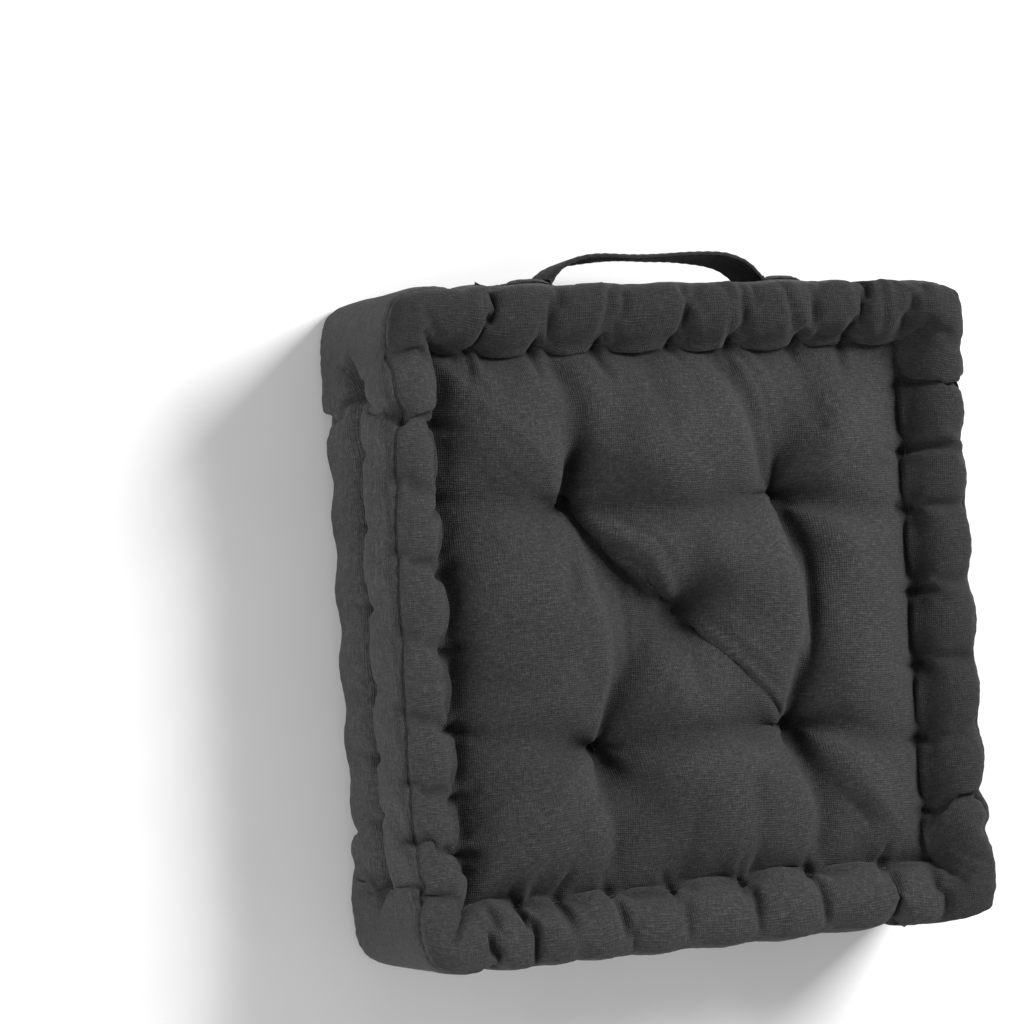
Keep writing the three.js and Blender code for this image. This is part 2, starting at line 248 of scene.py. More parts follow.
    # the tufts and the groove stitches draw shallow valleys between them
    for (ax, ay), (bx, by), height, bow, w in VALLEYS:
        size = math.hypot(bx - ax, by - ay)
        for s in np.linspace(0.16, 0.90, int(size / 4)):
            x = ax + (bx - ax) * s + (by - ay) / size * bow * 4 * s * (1 - s)
            y = ay + (by - ay) * s - (bx - ax) / size * bow * 4 * s * (1 - s)
            z = TUFT_Z + (height / 1000 - TUFT_Z) * (1 - math.exp(-s * size / 16))
            z += (GROOVE_Z + 0.004 - z) * smooth((s - 0.72) / 0.28)
            i, j = cell(flat_at(x / 1000)), cell(flat_at(y / 1000))
            for grid, level in ((top, z), (bottom, 2 * HALF_Z - z)):
                if int(grid[i, j]) not in held:
                    led[int(grid[i, j])] = (np.array([x / 1000, y / 1000, level]), w)
    for i in (0, CELLS):
        for j in (0, CELLS):
            gx, gy = (-1 if i == 0 else 1), (-1 if j == 0 else 1)
            led[int(top[i, j])] = (np.array([gx * 0.197, gy * 0.197, 0.092]), 0.7)
            led[int(bottom[i, j])] = (np.array([gx * 0.197, gy * 0.197, 0.008]), 0.7)
            column = int(np.where((ring[:, 0] == i) & (ring[:, 1] == j))[0][0])
            for r in range(1, rows):
                z = 0.092 - 0.084 * r / rows
                led[int(band[r, column])] = (np.array([gx * 0.2015, gy * 0.2015, z]), 0.35)

    # spare cloth: a lobe between each pair of stitches, and puffs between tufts
    crossings = {}
    for side in SIDES:
        f = sorted([-165] + FACE_TIES[side] + [165])
        s = sorted(SIDE_TIES[side])
        if len(s) == len(f) - 2:
            s = [-173] + s + [173]
        s = s + [173] if len(s) < len(f) else s
        crossings[side] = (flat_at(np.array(f) / 1000), flat_at(np.array(s[:len(f)]) / 1000))

    def lobe(side, m, tau):
        f, s = crossings[side]
        out = np.zeros_like(m)
        lines = f[None, :] * (1 - tau[:, None]) + s[None, :] * tau[:, None]
        for k in range(lines.shape[1] - 1):
            a, b = lines[:, k], lines[:, k + 1]
            share = (m - a) / np.maximum(b - a, 1e-4)
            ok = (share >= 0) & (share < 1)
            size = np.clip((b - a)[ok] / 0.042, 0.3, 1)
            out[ok] = size * (0.5 - 0.5 * np.cos(2 * np.pi * share[ok])) ** 0.7
        return out

    spare = np.zeros((count, 3))
    total = ROLL + BAND

    def add(ids, side, m, tau, normal):
        w = np.sin(np.pi * np.clip(tau, 0, 1)) ** 0.5 * (1 - 0.5 * np.exp(-((tau - 0.5) / 0.2) ** 2))
        size = LOBE * (1 - 0.3 * smooth((tau - 0.45) / 0.2))
        spare[ids] += (size * w * lobe(side, m, tau))[:, None] * normal

    for up, grid in ((1, top), (-1, bottom)):
        for side in SIDES:
            o = OUTWARD[side]
            out, along = U * o[0] + V * o[1], (V if o[0] else U)
            here = (out >= PANEL - ROLL - 1e-9) & (out >= abs(along) - 1e-9)
            tau = (out[here] - (PANEL - ROLL)) / total
            slope = (np.clip((out[here] - (PANEL - ROLL)) / ROLL, 0, 1) * 1.9 - 0.9) * np.pi / 4
            normal = np.stack([o[0] * np.sin(slope), o[1] * np.sin(slope), up * np.cos(slope)], 1)
            add(grid[here], side, along[here], tau, normal)
    for r in range(1, rows):
        z = 1 - 2 * r / rows
        tau = (ROLL + BAND * (1 - abs(z))) / total
        slope = np.pi / 4 * abs(z)
        for s, side in enumerate(SIDES):
            o = OUTWARD[side]
            c = np.arange(s * CELLS, (s + 1) * CELLS)
            along = (V if o[0] else U)[ring[c, 0], ring[c, 1]]
            normal = np.stack([np.full(len(c), o[0] * np.cos(slope)), np.full(len(c), o[1] * np.cos(slope)),
                               np.full(len(c), np.sign(z) * np.sin(slope))], 1)
            add(band[r][c], side, along, np.full(len(c), tau), normal)

    g = PANEL - ROLL
    t = [(flat_at(x / 1000), flat_at(y / 1000)) for x, y in TUFTS]
    at = lambda v: float(flat_at(v / 1000))
    # start, end, depth, and how far the valley bows to the right of its way
    valleys = [
        (t[0], t[2], 0.26, 0.004), (t[2], t[4], 0.30, 0.004), (t[1], t[2], 0.05, 0.0), (t[2], t[3], 0.05, 0.0),
        (t[0], t[1], 0.30, 0.004), (t[3], t[4], 0.30, 0.0), (t[3], t[0], 0.60, 0.022), (t[4], t[1], 0.60, 0.020),
        ((at(-94), g), t[0], 0.35, -0.004), ((at(-50), g), t[0], 0.25, -0.010), ((at(42), g), t[1], 0.35, -0.014),
        ((at(90), g), t[1], 0.2, 0.0), ((-g, at(78)), t[0], 0.3, 0.0), ((-g, at(-99)), t[3], 0.25, 0.0),
        ((-g, at(-57)), t[3], 0.3, 0.0), (t[1], (g, at(57)), 0.3, 0.0), (t[4], (g, at(-86)), 0.3, 0.0),
        ((at(-32), -g), t[3], 0.4, 0.008), ((at(100), -g), t[4], 0.4, 0.008), ((at(26), -g), t[4], 0.15, 0.0),
    ]
    near = np.min([np.hypot(U - x, V - y) for x, y in t], axis=0)
    edge = smooth((g - np.maximum(abs(U), abs(V))) / PUFF_EDGE)
    puff = 1 - np.exp(-(near / 0.029) ** 2)
    for a, b, depth, bow in valleys:
        a, b = np.array(a), np.array(b)
        ab = b - a
        size = math.hypot(*ab)
        s = np.clip(((U - a[0]) * ab[0] + (V - a[1]) * ab[1]) / (ab @ ab), 0, 1)
        off = np.array([ab[1], -ab[0]]) / size * bow
        d = np.hypot(U - a[0] - s * ab[0] - off[0] * 4 * s * (1 - s), V - a[1] - s * ab[1] - off[1] * 4 * s * (1 - s))
        puff = puff * (1 - depth * np.exp(-(d / VALLEY) ** 2))
    spare[top.ravel(), 2] += (PUFF * puff * edge).ravel()
    spare[bottom.ravel(), 2] -= (PUFF * puff * edge).ravel()

    rng = np.random.RandomState(3)
    noise = rng.randn(count, 3) * 0.00015
    ids = np.array(list(held))
    places = np.array(list(held.values()))
    noise[ids] = 0
    begin = flat + spare + noise + np.array([0, 0, HALF_Z])
    target = begin.copy()
    target[ids] = places
    for vertex, (q, w) in led.items():
        target[vertex] = q

    mesh = bpy.data.meshes.new("sewing")
    mesh.from_pydata(begin.tolist(), [], faces.tolist())
    mesh.update()
    cloth = bpy.data.objects.new("sewing", mesh)
    scene.collection.objects.link(cloth)
    bpy.context.view_layer.objects.active = cloth
    cloth.shape_key_add(name="Basis")
    pull = cloth.shape_key_add(name="stitched")
    pull.data.foreach_set("co", target.ravel().astype(np.float32))
    pull.value = 0
    pull.keyframe_insert("value", frame=1)
    pull.value = 1
    pull.keyframe_insert("value", frame=20)
    group = cloth.vertex_groups.new(name="held")
    group.add([int(i) for i in ids], 1.0, "REPLACE")
    for vertex, (q, w) in led.items():
        group.add([vertex], w, "REPLACE")
    filling = cloth.vertex_groups.new(name="filling")
    inside = (np.maximum(abs(U), abs(V)) <= PANEL - ROLL).ravel()
    share = CENTRE_SHARE * smooth((PANEL - ROLL - np.maximum(abs(U), abs(V)) + 0.004) / EASE).ravel()
    share = np.where(inside, share, 1.0)
    for grid in (top.ravel(), bottom.ravel()):
        for vertex, w in zip(grid, share):
            filling.add([int(vertex)], float(w), "REPLACE")
    filling.add([int(v) for v in band[1:rows].ravel()], 1.0, "REPLACE")
    frames = 30
    modifier = cloth.modifiers.new("cloth", "CLOTH")
    s = modifier.settings
    s.quality = 5
    s.mass = 0.3
    s.tension_stiffness = s.compression_stiffness = 15
    s.shear_stiffness = 5
    s.bending_stiffness = BENDING
    s.tension_damping = s.compression_damping = s.shear_damping = 5
    s.bending_damping = 0.5
    s.air_damping = 1
    s.use_pressure = True
    s.uniform_pressure_force = PRESSURE
    s.use_pressure_volume = False
    s.vertex_group_mass = "held"
    s.pin_stiffness = 1
    s.vertex_group_pressure = "filling"
    s.effector_weights.gravity = 0
    modifier.collision_settings.use_collision = False
    modifier.collision_settings.use_self_collision = SELF_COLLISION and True
    modifier.collision_settings.self_distance_min = 0.0018
    modifier.collision_settings.collision_quality = 2
    modifier.point_cache.frame_start = 1
    modifier.point_cache.frame_end = frames + 1
    start, end = scene.frame_start, scene.frame_end
    scene.frame_start, scene.frame_end = 1, frames + 1
    for f in range(1, frames + 1):
        scene.frame_set(f)
    shaped = cloth.evaluated_get(bpy.context.evaluated_depsgraph_get())
    co = np.empty(count * 3, np.float32)
    shaped.data.vertices.foreach_get("co", co)
    co = co.reshape(-1, 3).astype(float)
    bpy.data.objects.remove(cloth)
    bpy.data.meshes.remove(mesh)
    # the band is cut to hold the sides in: nothing bulges past it
    out = np.maximum((np.abs(co[:, :2] / OUT_FROM) ** 14).sum(1) ** (1 / 14) * OUT_FROM, 1e-6)
    past = np.clip(out - OUT_FROM, 0, None)
    co[:, :2] *= ((np.minimum(out, OUT_FROM) + OUT_ROOM * (1 - np.exp(-past / OUT_ROOM))) / out)[:, None]
    scene.frame_start, scene.frame_end = start, end
    scene.frame_set(1)
    return co[top], co[band], co[bottom], line, step, faces, co


LOBE = 0.013                    # height of the spare cloth between two stitches
PUFF = 0.037                    # height of the spare cloth between tufts
PUFF_EDGE = 0.075
EASE = 0.060                    # the filling presses less on the face near the groove
VALLEY = 0.016                  # width of the valleys between tufts
GROOVE_LIFT, GROOVE_SCALLOP, GROOVE_HOLD = 0.002, 0.012, 0.95
OUT_FROM, OUT_ROOM = 0.1960, 0.0090
CENTRE_SHARE = 0.6              # filling pressure on the faces, against the rolls
PRESSURE = 1200
BENDING = 3.0
SELF_COLLISION = False

top, band, bottom, line, step, coarse_faces, coarse = sew_and_fill()


# ------------------------------------------------------------------ fine cloth
def refine(a, k, closed=False):
    """k times as many points along the first axis, on the smooth curve through them."""
    n = len(a)
    if closed:
        p = np.concatenate([a[-1:], a, a[:2]])
        last = n
    else:
        p = np.concatenate([2 * a[:1] - a[1:2], a, 2 * a[-1:] - a[-2:-1]])
        last = n - 1
    out = []
    p0, p1, p2, p3 = p[0:last], p[1:last + 1], p[2:last + 2], p[3:last + 3]
    for i in range(k):
        t = i / k
        out.append(0.5 * (2 * p1 + (-p0 + p2) * t + (2 * p0 - 5 * p1 + 4 * p2 - p3) * t * t
                          + (-p0 + 3 * p1 - 3 * p2 + p3) * t ** 3))
    fine = np.stack(out, 1).reshape((-1,) + a.shape[1:])
    return fine if closed else np.concatenate([fine, a[-1:]])


def soften(a, w, closed=(False, False)):
    """One pass of smoothing over a grid, its open edges kept."""
    out = a.copy()
    for axis in (0, 1):
        m = np.moveaxis(out, axis, 0)
        if closed[axis]:
            m = m + w * ((np.roll(m, 1, 0) + np.roll(m, -1, 0)) / 2 - m)
        else:
            m = m.copy()
            m[1:-1] += w * ((m[:-2] + m[2:]) / 2 - m[1:-1])
        out = np.moveaxis(m, 0, axis)
    return out


FINE = 3
TOP = refine(refine(top, FINE).swapaxes(0, 1), FINE).swapaxes(0, 1)
BAND_GRID = refine(refine(band, FINE).swapaxes(0, 1), FINE, closed=True).swapaxes(0, 1)
BOTTOM = refine(refine(bottom, FINE).swapaxes(0, 1), FINE).swapaxes(0, 1)
CF = CELLS * FINE
fine_line = np.linspace(-PANEL, PANEL, CF + 1)
FU, FV = np.meshgrid(fine_line, fine_line, indexing="ij")
ring = np.array([(i, 0) for i in range(CF)] + [(CF, j) for j in range(CF)]
                + [(CF - i, CF) for i in range(CF)] + [(0, CF - j) for j in range(CF)])
TOP[ring[:, 0], ring[:, 1]] = BAND_GRID[0]
BOTTOM[ring[:, 0], ring[:, 1]] = BAND_GRID[-1]
TOP = soften(TOP, 0.35)
BOTTOM = soften(BOTTOM, 0.35)
BAND_GRID = soften(BAND_GRID, 0.35, (False, True))


def shift_seam(side, amount):
    """Moves a side's two seams along the cloth, towards the groove, without changing its shape."""
    index = SIDES.index(side)
    cell = 2 * PANEL / CF
    deep = int(round(ROLL / cell))
    middle = (len(BAND_GRID) - 1) // 2
    drop = 2 * BAND / (len(BAND_GRID) - 1)
    at = np.concatenate([ROLL - cell * np.arange(deep, -1, -1), ROLL + drop * np.arange(1, middle + 1)])
    shape = np.where(at < ROLL, smooth(at / ROLL), smooth((at[-1] - at) / (at[-1] - ROLL)))
    for c in range(index * CF + 1, (index + 1) * CF):
        i, j = ring[c]
        di, dj = {"front": (0, 1), "right": (-1, 0), "back": (0, -1), "left": (1, 0)}[side]
        along = PANEL - abs(fine_line[j] if di else fine_line[i])
        move = amount * float(smooth((along - ROLL * 0.5) / 0.035))
        if move == 0:
            continue
        k = np.arange(deep, -1, -1)
        face = (i + di * k, j + dj * k)
        for grid, rows_in in ((TOP, np.arange(1, middle + 1)), (BOTTOM, len(BAND_GRID) - 1 - np.arange(1, middle + 1))):
            line_points = np.concatenate([grid[face], BAND_GRID[rows_in, c]])
            new = np.stack([np.interp(at - move * shape, at, line_points[:, x]) for x in range(3)], 1)
            grid[face] = new[:deep + 1]
            BAND_GRID[rows_in[:-1], c] = new[deep + 1:-1]
            BAND_GRID[0 if grid is TOP else -1, c] = new[deep]


def calm(grid, start, end, reach, passes):
    """Smooths a grid around the line from start to end, in metres on the flat panel."""
    a, b = np.array(start), np.array(end)
    ab = b - a
    t = np.clip(((FU - a[0]) * ab[0] + (FV - a[1]) * ab[1]) / (ab @ ab), 0, 1)
    d = np.hypot(FU - a[0] - t * ab[0], FV - a[1] - t * ab[1])
    w = smooth(1.6 - d / reach)[..., None]
    for _ in range(passes):
        grid[...] = grid * (1 - w) + soften(grid, 0.9) * w


shift_seam("left", 0.0085)
shift_seam("right", 0.0050)
shift_seam("front", -0.0030)
shift_seam("back", -0.0035)
for grid in (TOP, BOTTOM):
    calm(grid, (float(flat_at(0.004)), float(flat_at(0.008))), (float(flat_at(0.040)), float(flat_at(0.042))), 0.010, 14)
    calm(grid, (float(flat_at(-0.012)), float(flat_at(-0.008))), (float(flat_at(-0.046)), float(flat_at(-0.058))), 0.010, 14)


def grid_normals(p, closed=False, flip=1):
    du = np.gradient(p, axis=0)
    if closed:
        dv = (np.roll(p, -1, 1) - np.roll(p, 1, 1)) / 2
    else:
        dv = np.gradient(p, axis=1)
    n = np.cross(du, dv) * flip
    return n / np.maximum(np.linalg.norm(n, axis=-1, keepdims=True), 1e-12)


def value_noise(x, y, seed):
    """Smooth noise from -1 to 1 over the plane, with features about one unit across."""
    table = np.random.RandomState(seed).uniform(-1, 1, (64, 64))
    i, j = np.floor(x).astype(int), np.floor(y).astype(int)
    a, b = smooth(x - i), smooth(y - j)
    g = lambda p, q: table[p % 64, q % 64]
    return ((g(i, j) * (1 - a) + g(i + 1, j) * a) * (1 - b) + (g(i, j + 1) * (1 - a) + g(i + 1, j + 1) * a) * b)


def crease(u, v, a, b, depth, width, head=1.0, tail=0.0, bow=0.0):
    """A fold in the cloth from a to b on the flat panel: a sharp valley with a lip on each side.
    head and tail say how deep it still is at each end."""
    a, b = np.array(a, float), np.array(b, float)
    ab = b - a
    size = math.hypot(*ab)
    t = ((u - a[0]) * ab[0] + (v - a[1]) * ab[1]) / size ** 2
    d = ((u - a[0]) * -ab[1] + (v - a[1]) * ab[0]) / size - bow * 4 * np.clip(t, 0, 1) * (1 - np.clip(t, 0, 1))
    past = np.clip(np.abs(t - 0.5) - 0.5, 0, None) * size
    tt = np.clip(t, 0, 1)
    strength = (head + (1 - head) * smooth(tt / 0.3)) * (tail + (1 - tail) * smooth((1 - tt) / 0.5))
    strength = strength * np.exp(-(past / width) ** 2)
    return depth * strength * (-np.exp(-np.abs(d) / width) + 0.42 * np.exp(-((np.abs(d) - 2.3 * width) / (1.3 * width)) ** 2))


def valley_along(u, v, points, depth, width):
    """A long soft hollow on the flat panel through the given points, in millimetres."""
    p = np.array([(float(flat_at(x / 1000)), float(flat_at(y / 1000))) for x, y in points])
    q = refine(p, 10)
    t = np.linspace(0, 1, len(q))
    strength = smooth((t + 0.08) / 0.2) * smooth((1.05 - t) / 0.3)
    low = np.zeros_like(u)
    ridge = np.zeros_like(u)
    for (x, y), w in zip(q, strength):
        d = np.hypot(u - x, v - y) / width
        low = np.maximum(low, w * np.exp(-d ** 2))
        ridge = np.maximum(ridge, w * np.exp(-((d - 2.2) / 0.9) ** 2))
    return depth * (0.28 * ridge - low)


# Long soft hollows of the faces: points in millimetres, depth and width in metres.
HOLLOWS = [
    ([(-75, 74), (-74, 110), (-75, 143), (-88, 166)], 0.0052, 0.0085), ([(-18, 166), (-16, 136), (-18, 112)], 0.0020, 0.0085),
    ([(30, 165), (46, 130), (56, 98), (68, 76)], 0.0050, 0.0085), ([(88, 166), (95, 134), (97, 108)], 0.0024, 0.0080),
    ([(-64, -80), (-63, -108), (-58, -136), (-60, -166)], 0.0050, 0.0085), ([(-8, -112), (-11, -139), (-18, -166)], 0.0020, 0.0085),
    ([(33, -106), (38, -139), (36, -168)], 0.0024, 0.0080), ([(73, -76), (80, -104), (85, -139), (80, -167)], 0.0052, 0.0085),
    ([(74, 72), (98, 66), (141, 59), (165, 57)], 0.0024, 0.0080), ([(74, -72), (109, -79), (145, -86), (166, -87)], 0.0026, 0.0080),
    ([(-76, 70), (-117, 75), (-166, 77)], 0.0022, 0.0080), ([(-65, -77), (-114, -69), (-166, -60)], 0.0022, 0.0080),
    ([(72, 70), (78, 42), (80, 5), (74, -32), (71, -68)], 0.0030, 0.0075), ([(-74, 68), (-66, 40), (-62, 3), (-60, -33), (-62, -74)], 0.0030, 0.0075),
    ([(-64, 60), (-38, 36), (-13, 12)], -0.0074, 0.0140), ([(8, -10), (36, -38), (62, -62)], -0.0060, 0.0130),
    ([(-8, 8), (-3, 24), (8, 48)], 0.0014, 0.0080), ([(-6, -6), (-4, -28), (-1, -60)], 0.0014, 0.0090),
]

rng = np.random.RandomState(11)


def face_relief(u, v, upper):
    """Fine folds of a face panel, along its normal, in metres."""
    h = np.zeros_like(u)
    mm = lambda x, y: (float(flat_at(x / 1000)), float(flat_at(y / 1000)))
    g = PANEL - ROLL
    for side in SIDES:
        o = OUTWARD[side]
        for t in FACE_TIES[side]:
            m = float(flat_at(t / 1000))
            tie = (o[0] * g + abs(o[1]) * m, o[1] * g + abs(o[0]) * m)
            slant = rng.uniform(-0.007, 0.007)
            reach = rng.uniform(0.016, 0.030)
            into = (tie[0] - o[0] * reach + abs(o[1]) * slant, tie[1] - o[1] * reach + abs(o[0]) * slant)
            h += crease(u, v, tie, into, rng.uniform(0.0010, 0.0022), 0.0026, bow=rng.uniform(-0.002, 0.002))
            slant = rng.uniform(-0.008, 0.008)
            reach = rng.uniform(0.020, 0.034)
            over = (tie[0] + o[0] * reach + abs(o[1]) * slant, tie[1] + o[1] * reach + abs(o[0]) * slant)
            h += crease(u, v, tie, over, rng.uniform(0.0012, 0.0024), 0.0024, bow=rng.uniform(-0.003, 0.003))
            h -= 0.0012 * np.exp(-(np.hypot(u - tie[0], v - tie[1]) / 0.0045) ** 2)
    for x, y in TUFTS:
        c = mm(x, y)
        turn = rng.uniform(0, 1)
        for k in range(7):
            a = 2 * math.pi * (k + turn + rng.uniform(-0.25, 0.25)) / 7
            r = rng.uniform(0.014, 0.032)
            h += crease(u, v, c, (c[0] + r * math.cos(a), c[1] + r * math.sin(a)), rng.uniform(0.0006, 0.0014), 0.0022,
                        bow=rng.uniform(-0.002, 0.002))
    for points, depth, width in HOLLOWS:
        h += valley_along(u, v, points, depth, width)
    if upper:
        for (ax, ay), (bx, by), depth, bow in FOLDS:
            h += crease(u, v, mm(ax, ay), mm(bx, by), depth, 0.0026, head=0.6, tail=0.4, bow=bow)
    h += 0.00045 * value_noise(u / 0.017 + 9, v / 0.017, 21 + upper) + 0.0002 * value_noise(u / 0.007, v / 0.007 + 5, 31 + upper)
    e = PANEL - np.maximum(np.abs(u), np.abs(v))
    along = np.where(np.abs(u) > np.abs(v), v, u)
    pucker = np.sin(2 * np.pi * along / 0.0085 + 3 * value_noise(along / 0.03, u * 0 + 2, 41))
    h += 0.00035 * pucker * np.exp(-e / 0.006) - 0.0012 * np.exp(-(e / 0.0035) ** 2)
    return h


# Folds seen on the face and its roll, in millimetres from the middle: start, end, depth, bow.
FOLDS = [
    ((-58, 52), (-10, 7), 0.0018, 0.003), ((4, -8), (66, -64), 0.0020, -0.004), ((-44, 60), (-6, 18), 0.0015, 0.004),
    ((16, -4), (68, -54), 0.0016, -0.005), ((-56, 38), (-28, 12), 0.0011, 0.002), ((4, -20), (38, -50), 0.0011, -0.002),
    ((-188, 145), (-180, 148), 0.0020, 0), ((-186, 116), (-172, 122), 0.0020, 0), ((-195, 62), (-170, 73), 0.0034, 0.001),
    ((-189, 25), (-173, 32), 0.0020, 0), ((-196, -29), (-175, -26), 0.0022, 0), ((-195, -38), (-177, -35), 0.0018, 0),
    ((-191, -102), (-172, -101), 0.0024, 0), ((-191, -109), (-174, -107), 0.0022, 0), ((-192, -142), (-168, -146), 0.0026, 0),
    ((-143, 200), (-146, 176), 0.0020, 0), ((-137, 200), (-140, 173), 0.0022, 0), ((-44, 200), (-54, 174), 0.0030, 0.001),
    ((2, 200), (12, 174), 0.0028, -0.001), ((29, 198), (41, 188), 0.0014, 0), ((45, 198), (42, 174), 0.0026, 0.001),
    ((75, 196), (87, 172), 0.0026, 0), ((128, 196), (128, 174), 0.0022, 0.001), ((154, 199), (151, 174), 0.0018, 0),
    ((162, 198), (159, 187), 0.0014, 0), ((177, 199), (175, 188), 0.0014, 0), ((169, 100), (198, 99), 0.0024, 0),
    ((42, 170), (62, 118), 0.0014, 0.004), ((62, 118), (70, 78), 0.0012, 0.002),
]


def band_relief(s, w):
    """Fine folds of the side band: s runs round it, w from -BAND, below, to BAND."""
    h = np.zeros_like(s)
    length = 2 * PANEL
    for k, side in enumerate(SIDES):
        for t in SIDE_TIES[side]:
            m = float(flat_at(t / 1000))
            c = k * length + ((PANEL + m) if k < 2 else (PANEL - m))
            for up in (1, -1):
                slant = rng.uniform(-0.010, 0.010)
                reach = rng.uniform(0.022, 0.040)
                h += crease(s, w, (c, 0), (c + slant, up * reach), rng.uniform(0.0010, 0.0024), 0.0024,
                            bow=rng.uniform(-0.003, 0.003))
            h -= 0.0012 * np.exp(-(np.hypot(s - c, w) / 0.0045) ** 2)
    # the filling stands out between the stitches, above and below their line
    for k, side in enumerate(SIDES):
        ties = sorted(float(flat_at(t / 1000)) for t in SIDE_TIES[side])
        at = [k * length + ((PANEL + m) if k < 2 else (PANEL - m)) for m in ties]
        at = sorted(at)
        for a, b in zip(at[:-1], at[1:]):
            share = np.clip((s - a) / (b - a), 0, 1)
            h += min(1, (b - a) / 0.045) * 0.0026 * np.sin(np.pi * share) ** 0.8 * np.sin(np.pi * np.clip(np.abs(w) / BAND * 1.1, 0, 1)) ** 0.8
    h += 0.00045 * value_noise(s / 0.017 + 3, w / 0.017 + 8, 51) + 0.0002 * value_noise(s / 0.007, w / 0.007, 52)
    e = BAND - np.abs(w)
    pucker = np.sin(2 * np.pi * s / 0.0085 + 3 * value_noise(s / 0.03, s * 0 + 7, 42) + np.sign(w))
    h += 0.00035 * pucker * np.exp(-e / 0.006) - 0.0012 * np.exp(-(e / 0.0035) ** 2)
    return h


rows = len(BAND_GRID) - 1
around = BAND_GRID.shape[1]
BS, BW = np.meshgrid(np.arange(around) * (8 * PANEL / around), BAND - 2 * BAND * np.arange(rows + 1) / rows)
n_top = grid_normals(TOP)
n_bottom = grid_normals(BOTTOM, flip=-1)
n_band = grid_normals(BAND_GRID, closed=True)
for name, n, want in (("top", n_top, (0, 0, 1)), ("bottom", n_bottom, (0, 0, -1))):
    if (n @ np.array(want)).mean() < 0:
        n *= -1
radial = BAND_GRID * np.array([1, 1, 0])
if (n_band * radial).sum(-1).mean() < 0:
    n_band *= -1


def unit(v):
    return v / np.maximum(np.linalg.norm(v, axis=-1, keepdims=True), 1e-12)


upper_out = unit(n_top[ring[:, 0], ring[:, 1]] + n_band[0])
lower_out = unit(n_bottom[ring[:, 0], ring[:, 1]] + n_band[-1])
TOP = TOP + n_top * face_relief(FU, FV, 1)[..., None]
BOTTOM = BOTTOM + n_bottom * face_relief(FU, FV, 0)[..., None]
BAND_GRID = BAND_GRID + n_band * band_relief(BS, BW)[..., None]
# the seams pull in a little, and both panels meet there
upper_seam = (TOP[ring[:, 0], ring[:, 1]] + BAND_GRID[0]) / 2 - upper_out * 0.0008
lower_seam = (BOTTOM[ring[:, 0], ring[:, 1]] + BAND_GRID[-1]) / 2 - lower_out * 0.0008
TOP[ring[:, 0], ring[:, 1]] = upper_seam
BAND_GRID[0] = upper_seam
BOTTOM[ring[:, 0], ring[:, 1]] = lower_seam
BAND_GRID[-1] = lower_seam


def rest_on_floor(p):
    """Flattens what would sink below the floor, with a soft edge."""
    z = p[..., 2]
    soft = 0.0035
    low = z < soft
    z[low] = soft * np.exp((z[low] - soft) / soft)
    z -= 0.0006 * np.exp(-z / soft)
    z[z < 0] = 0
    return p


def crest_highlight_and_hollow_shade(p, n, closed=False):
    """How far each point stands out of the cloth round it, turned into painted light and shade: crests are painted
    lighter, hollows are painted darker.
    """
    wide = p
    for _ in range(45):
        wide = soften(wide, 1.0, (False, closed))
    return np.clip(((p - wide) * n).sum(-1) * 24, -0.16, 0.07)


# painted highlight on crests and painted shade in hollows, for the upper face, the lower face and the band
PAINTED_SHADING = [crest_highlight_and_hollow_shade(TOP, n_top), crest_highlight_and_hollow_shade(BOTTOM, n_bottom), crest_highlight_and_hollow_shade(BAND_GRID, n_band, True)]

# painted shade: the rolls on the handle side and on the right side of the upper face are painted darker
PAINTED_SHADING[0] = PAINTED_SHADING[0] - 0.16 * np.maximum(smooth((FU - PANEL + ROLL) / 0.014), smooth((FV - PANEL + ROLL) / 0.014))

lift = -np.percentile(BOTTOM[..., 2], 12)
for p in (TOP, BOTTOM, BAND_GRID, coarse, upper_seam, lower_seam):
    p[..., 2] += lift
for p in (BOTTOM, BAND_GRID, lower_seam):
    rest_on_floor(p)


# ------------------------------------------------------------------ mesh making
def piece(name, verts, faces, body="cushion", smooth_faces=True, attributes=None):
    verts = np.asarray(verts, float).reshape(-1, 3) + np.array([0, OY, 0])
    mesh = bpy.data.meshes.new(name)
    mesh.from_pydata(verts.tolist(), [], [list(map(int, f)) for f in faces])
    mesh.update()
    mesh.polygons.foreach_set("use_smooth", [smooth_faces] * len(mesh.polygons))
    for key, values in (attributes or {}).items():
        values = np.asarray(values, np.float32)
        kind = "FLOAT_VECTOR" if values.ndim == 2 else "FLOAT"
        layer = mesh.attributes.new(key, kind, "POINT")
        layer.data.foreach_set("vector" if values.ndim == 2 else "value", values.ravel())
    ob = bpy.data.objects.new(name, mesh)
    scene.collection.objects.link(ob)
    if body:
        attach(ob, body)
    return ob


def quads_of(ids, closed=False):
    a = ids
    if closed:
        b = np.roll(ids, -1, axis=1)
        q = np.stack([a[:-1], a[1:], b[1:], b[:-1]], -1)
    else:
        q = np.stack([a[:-1, :-1], a[1:, :-1], a[1:, 1:], a[:-1, 1:]], -1)
    return q.reshape(-1, 4)


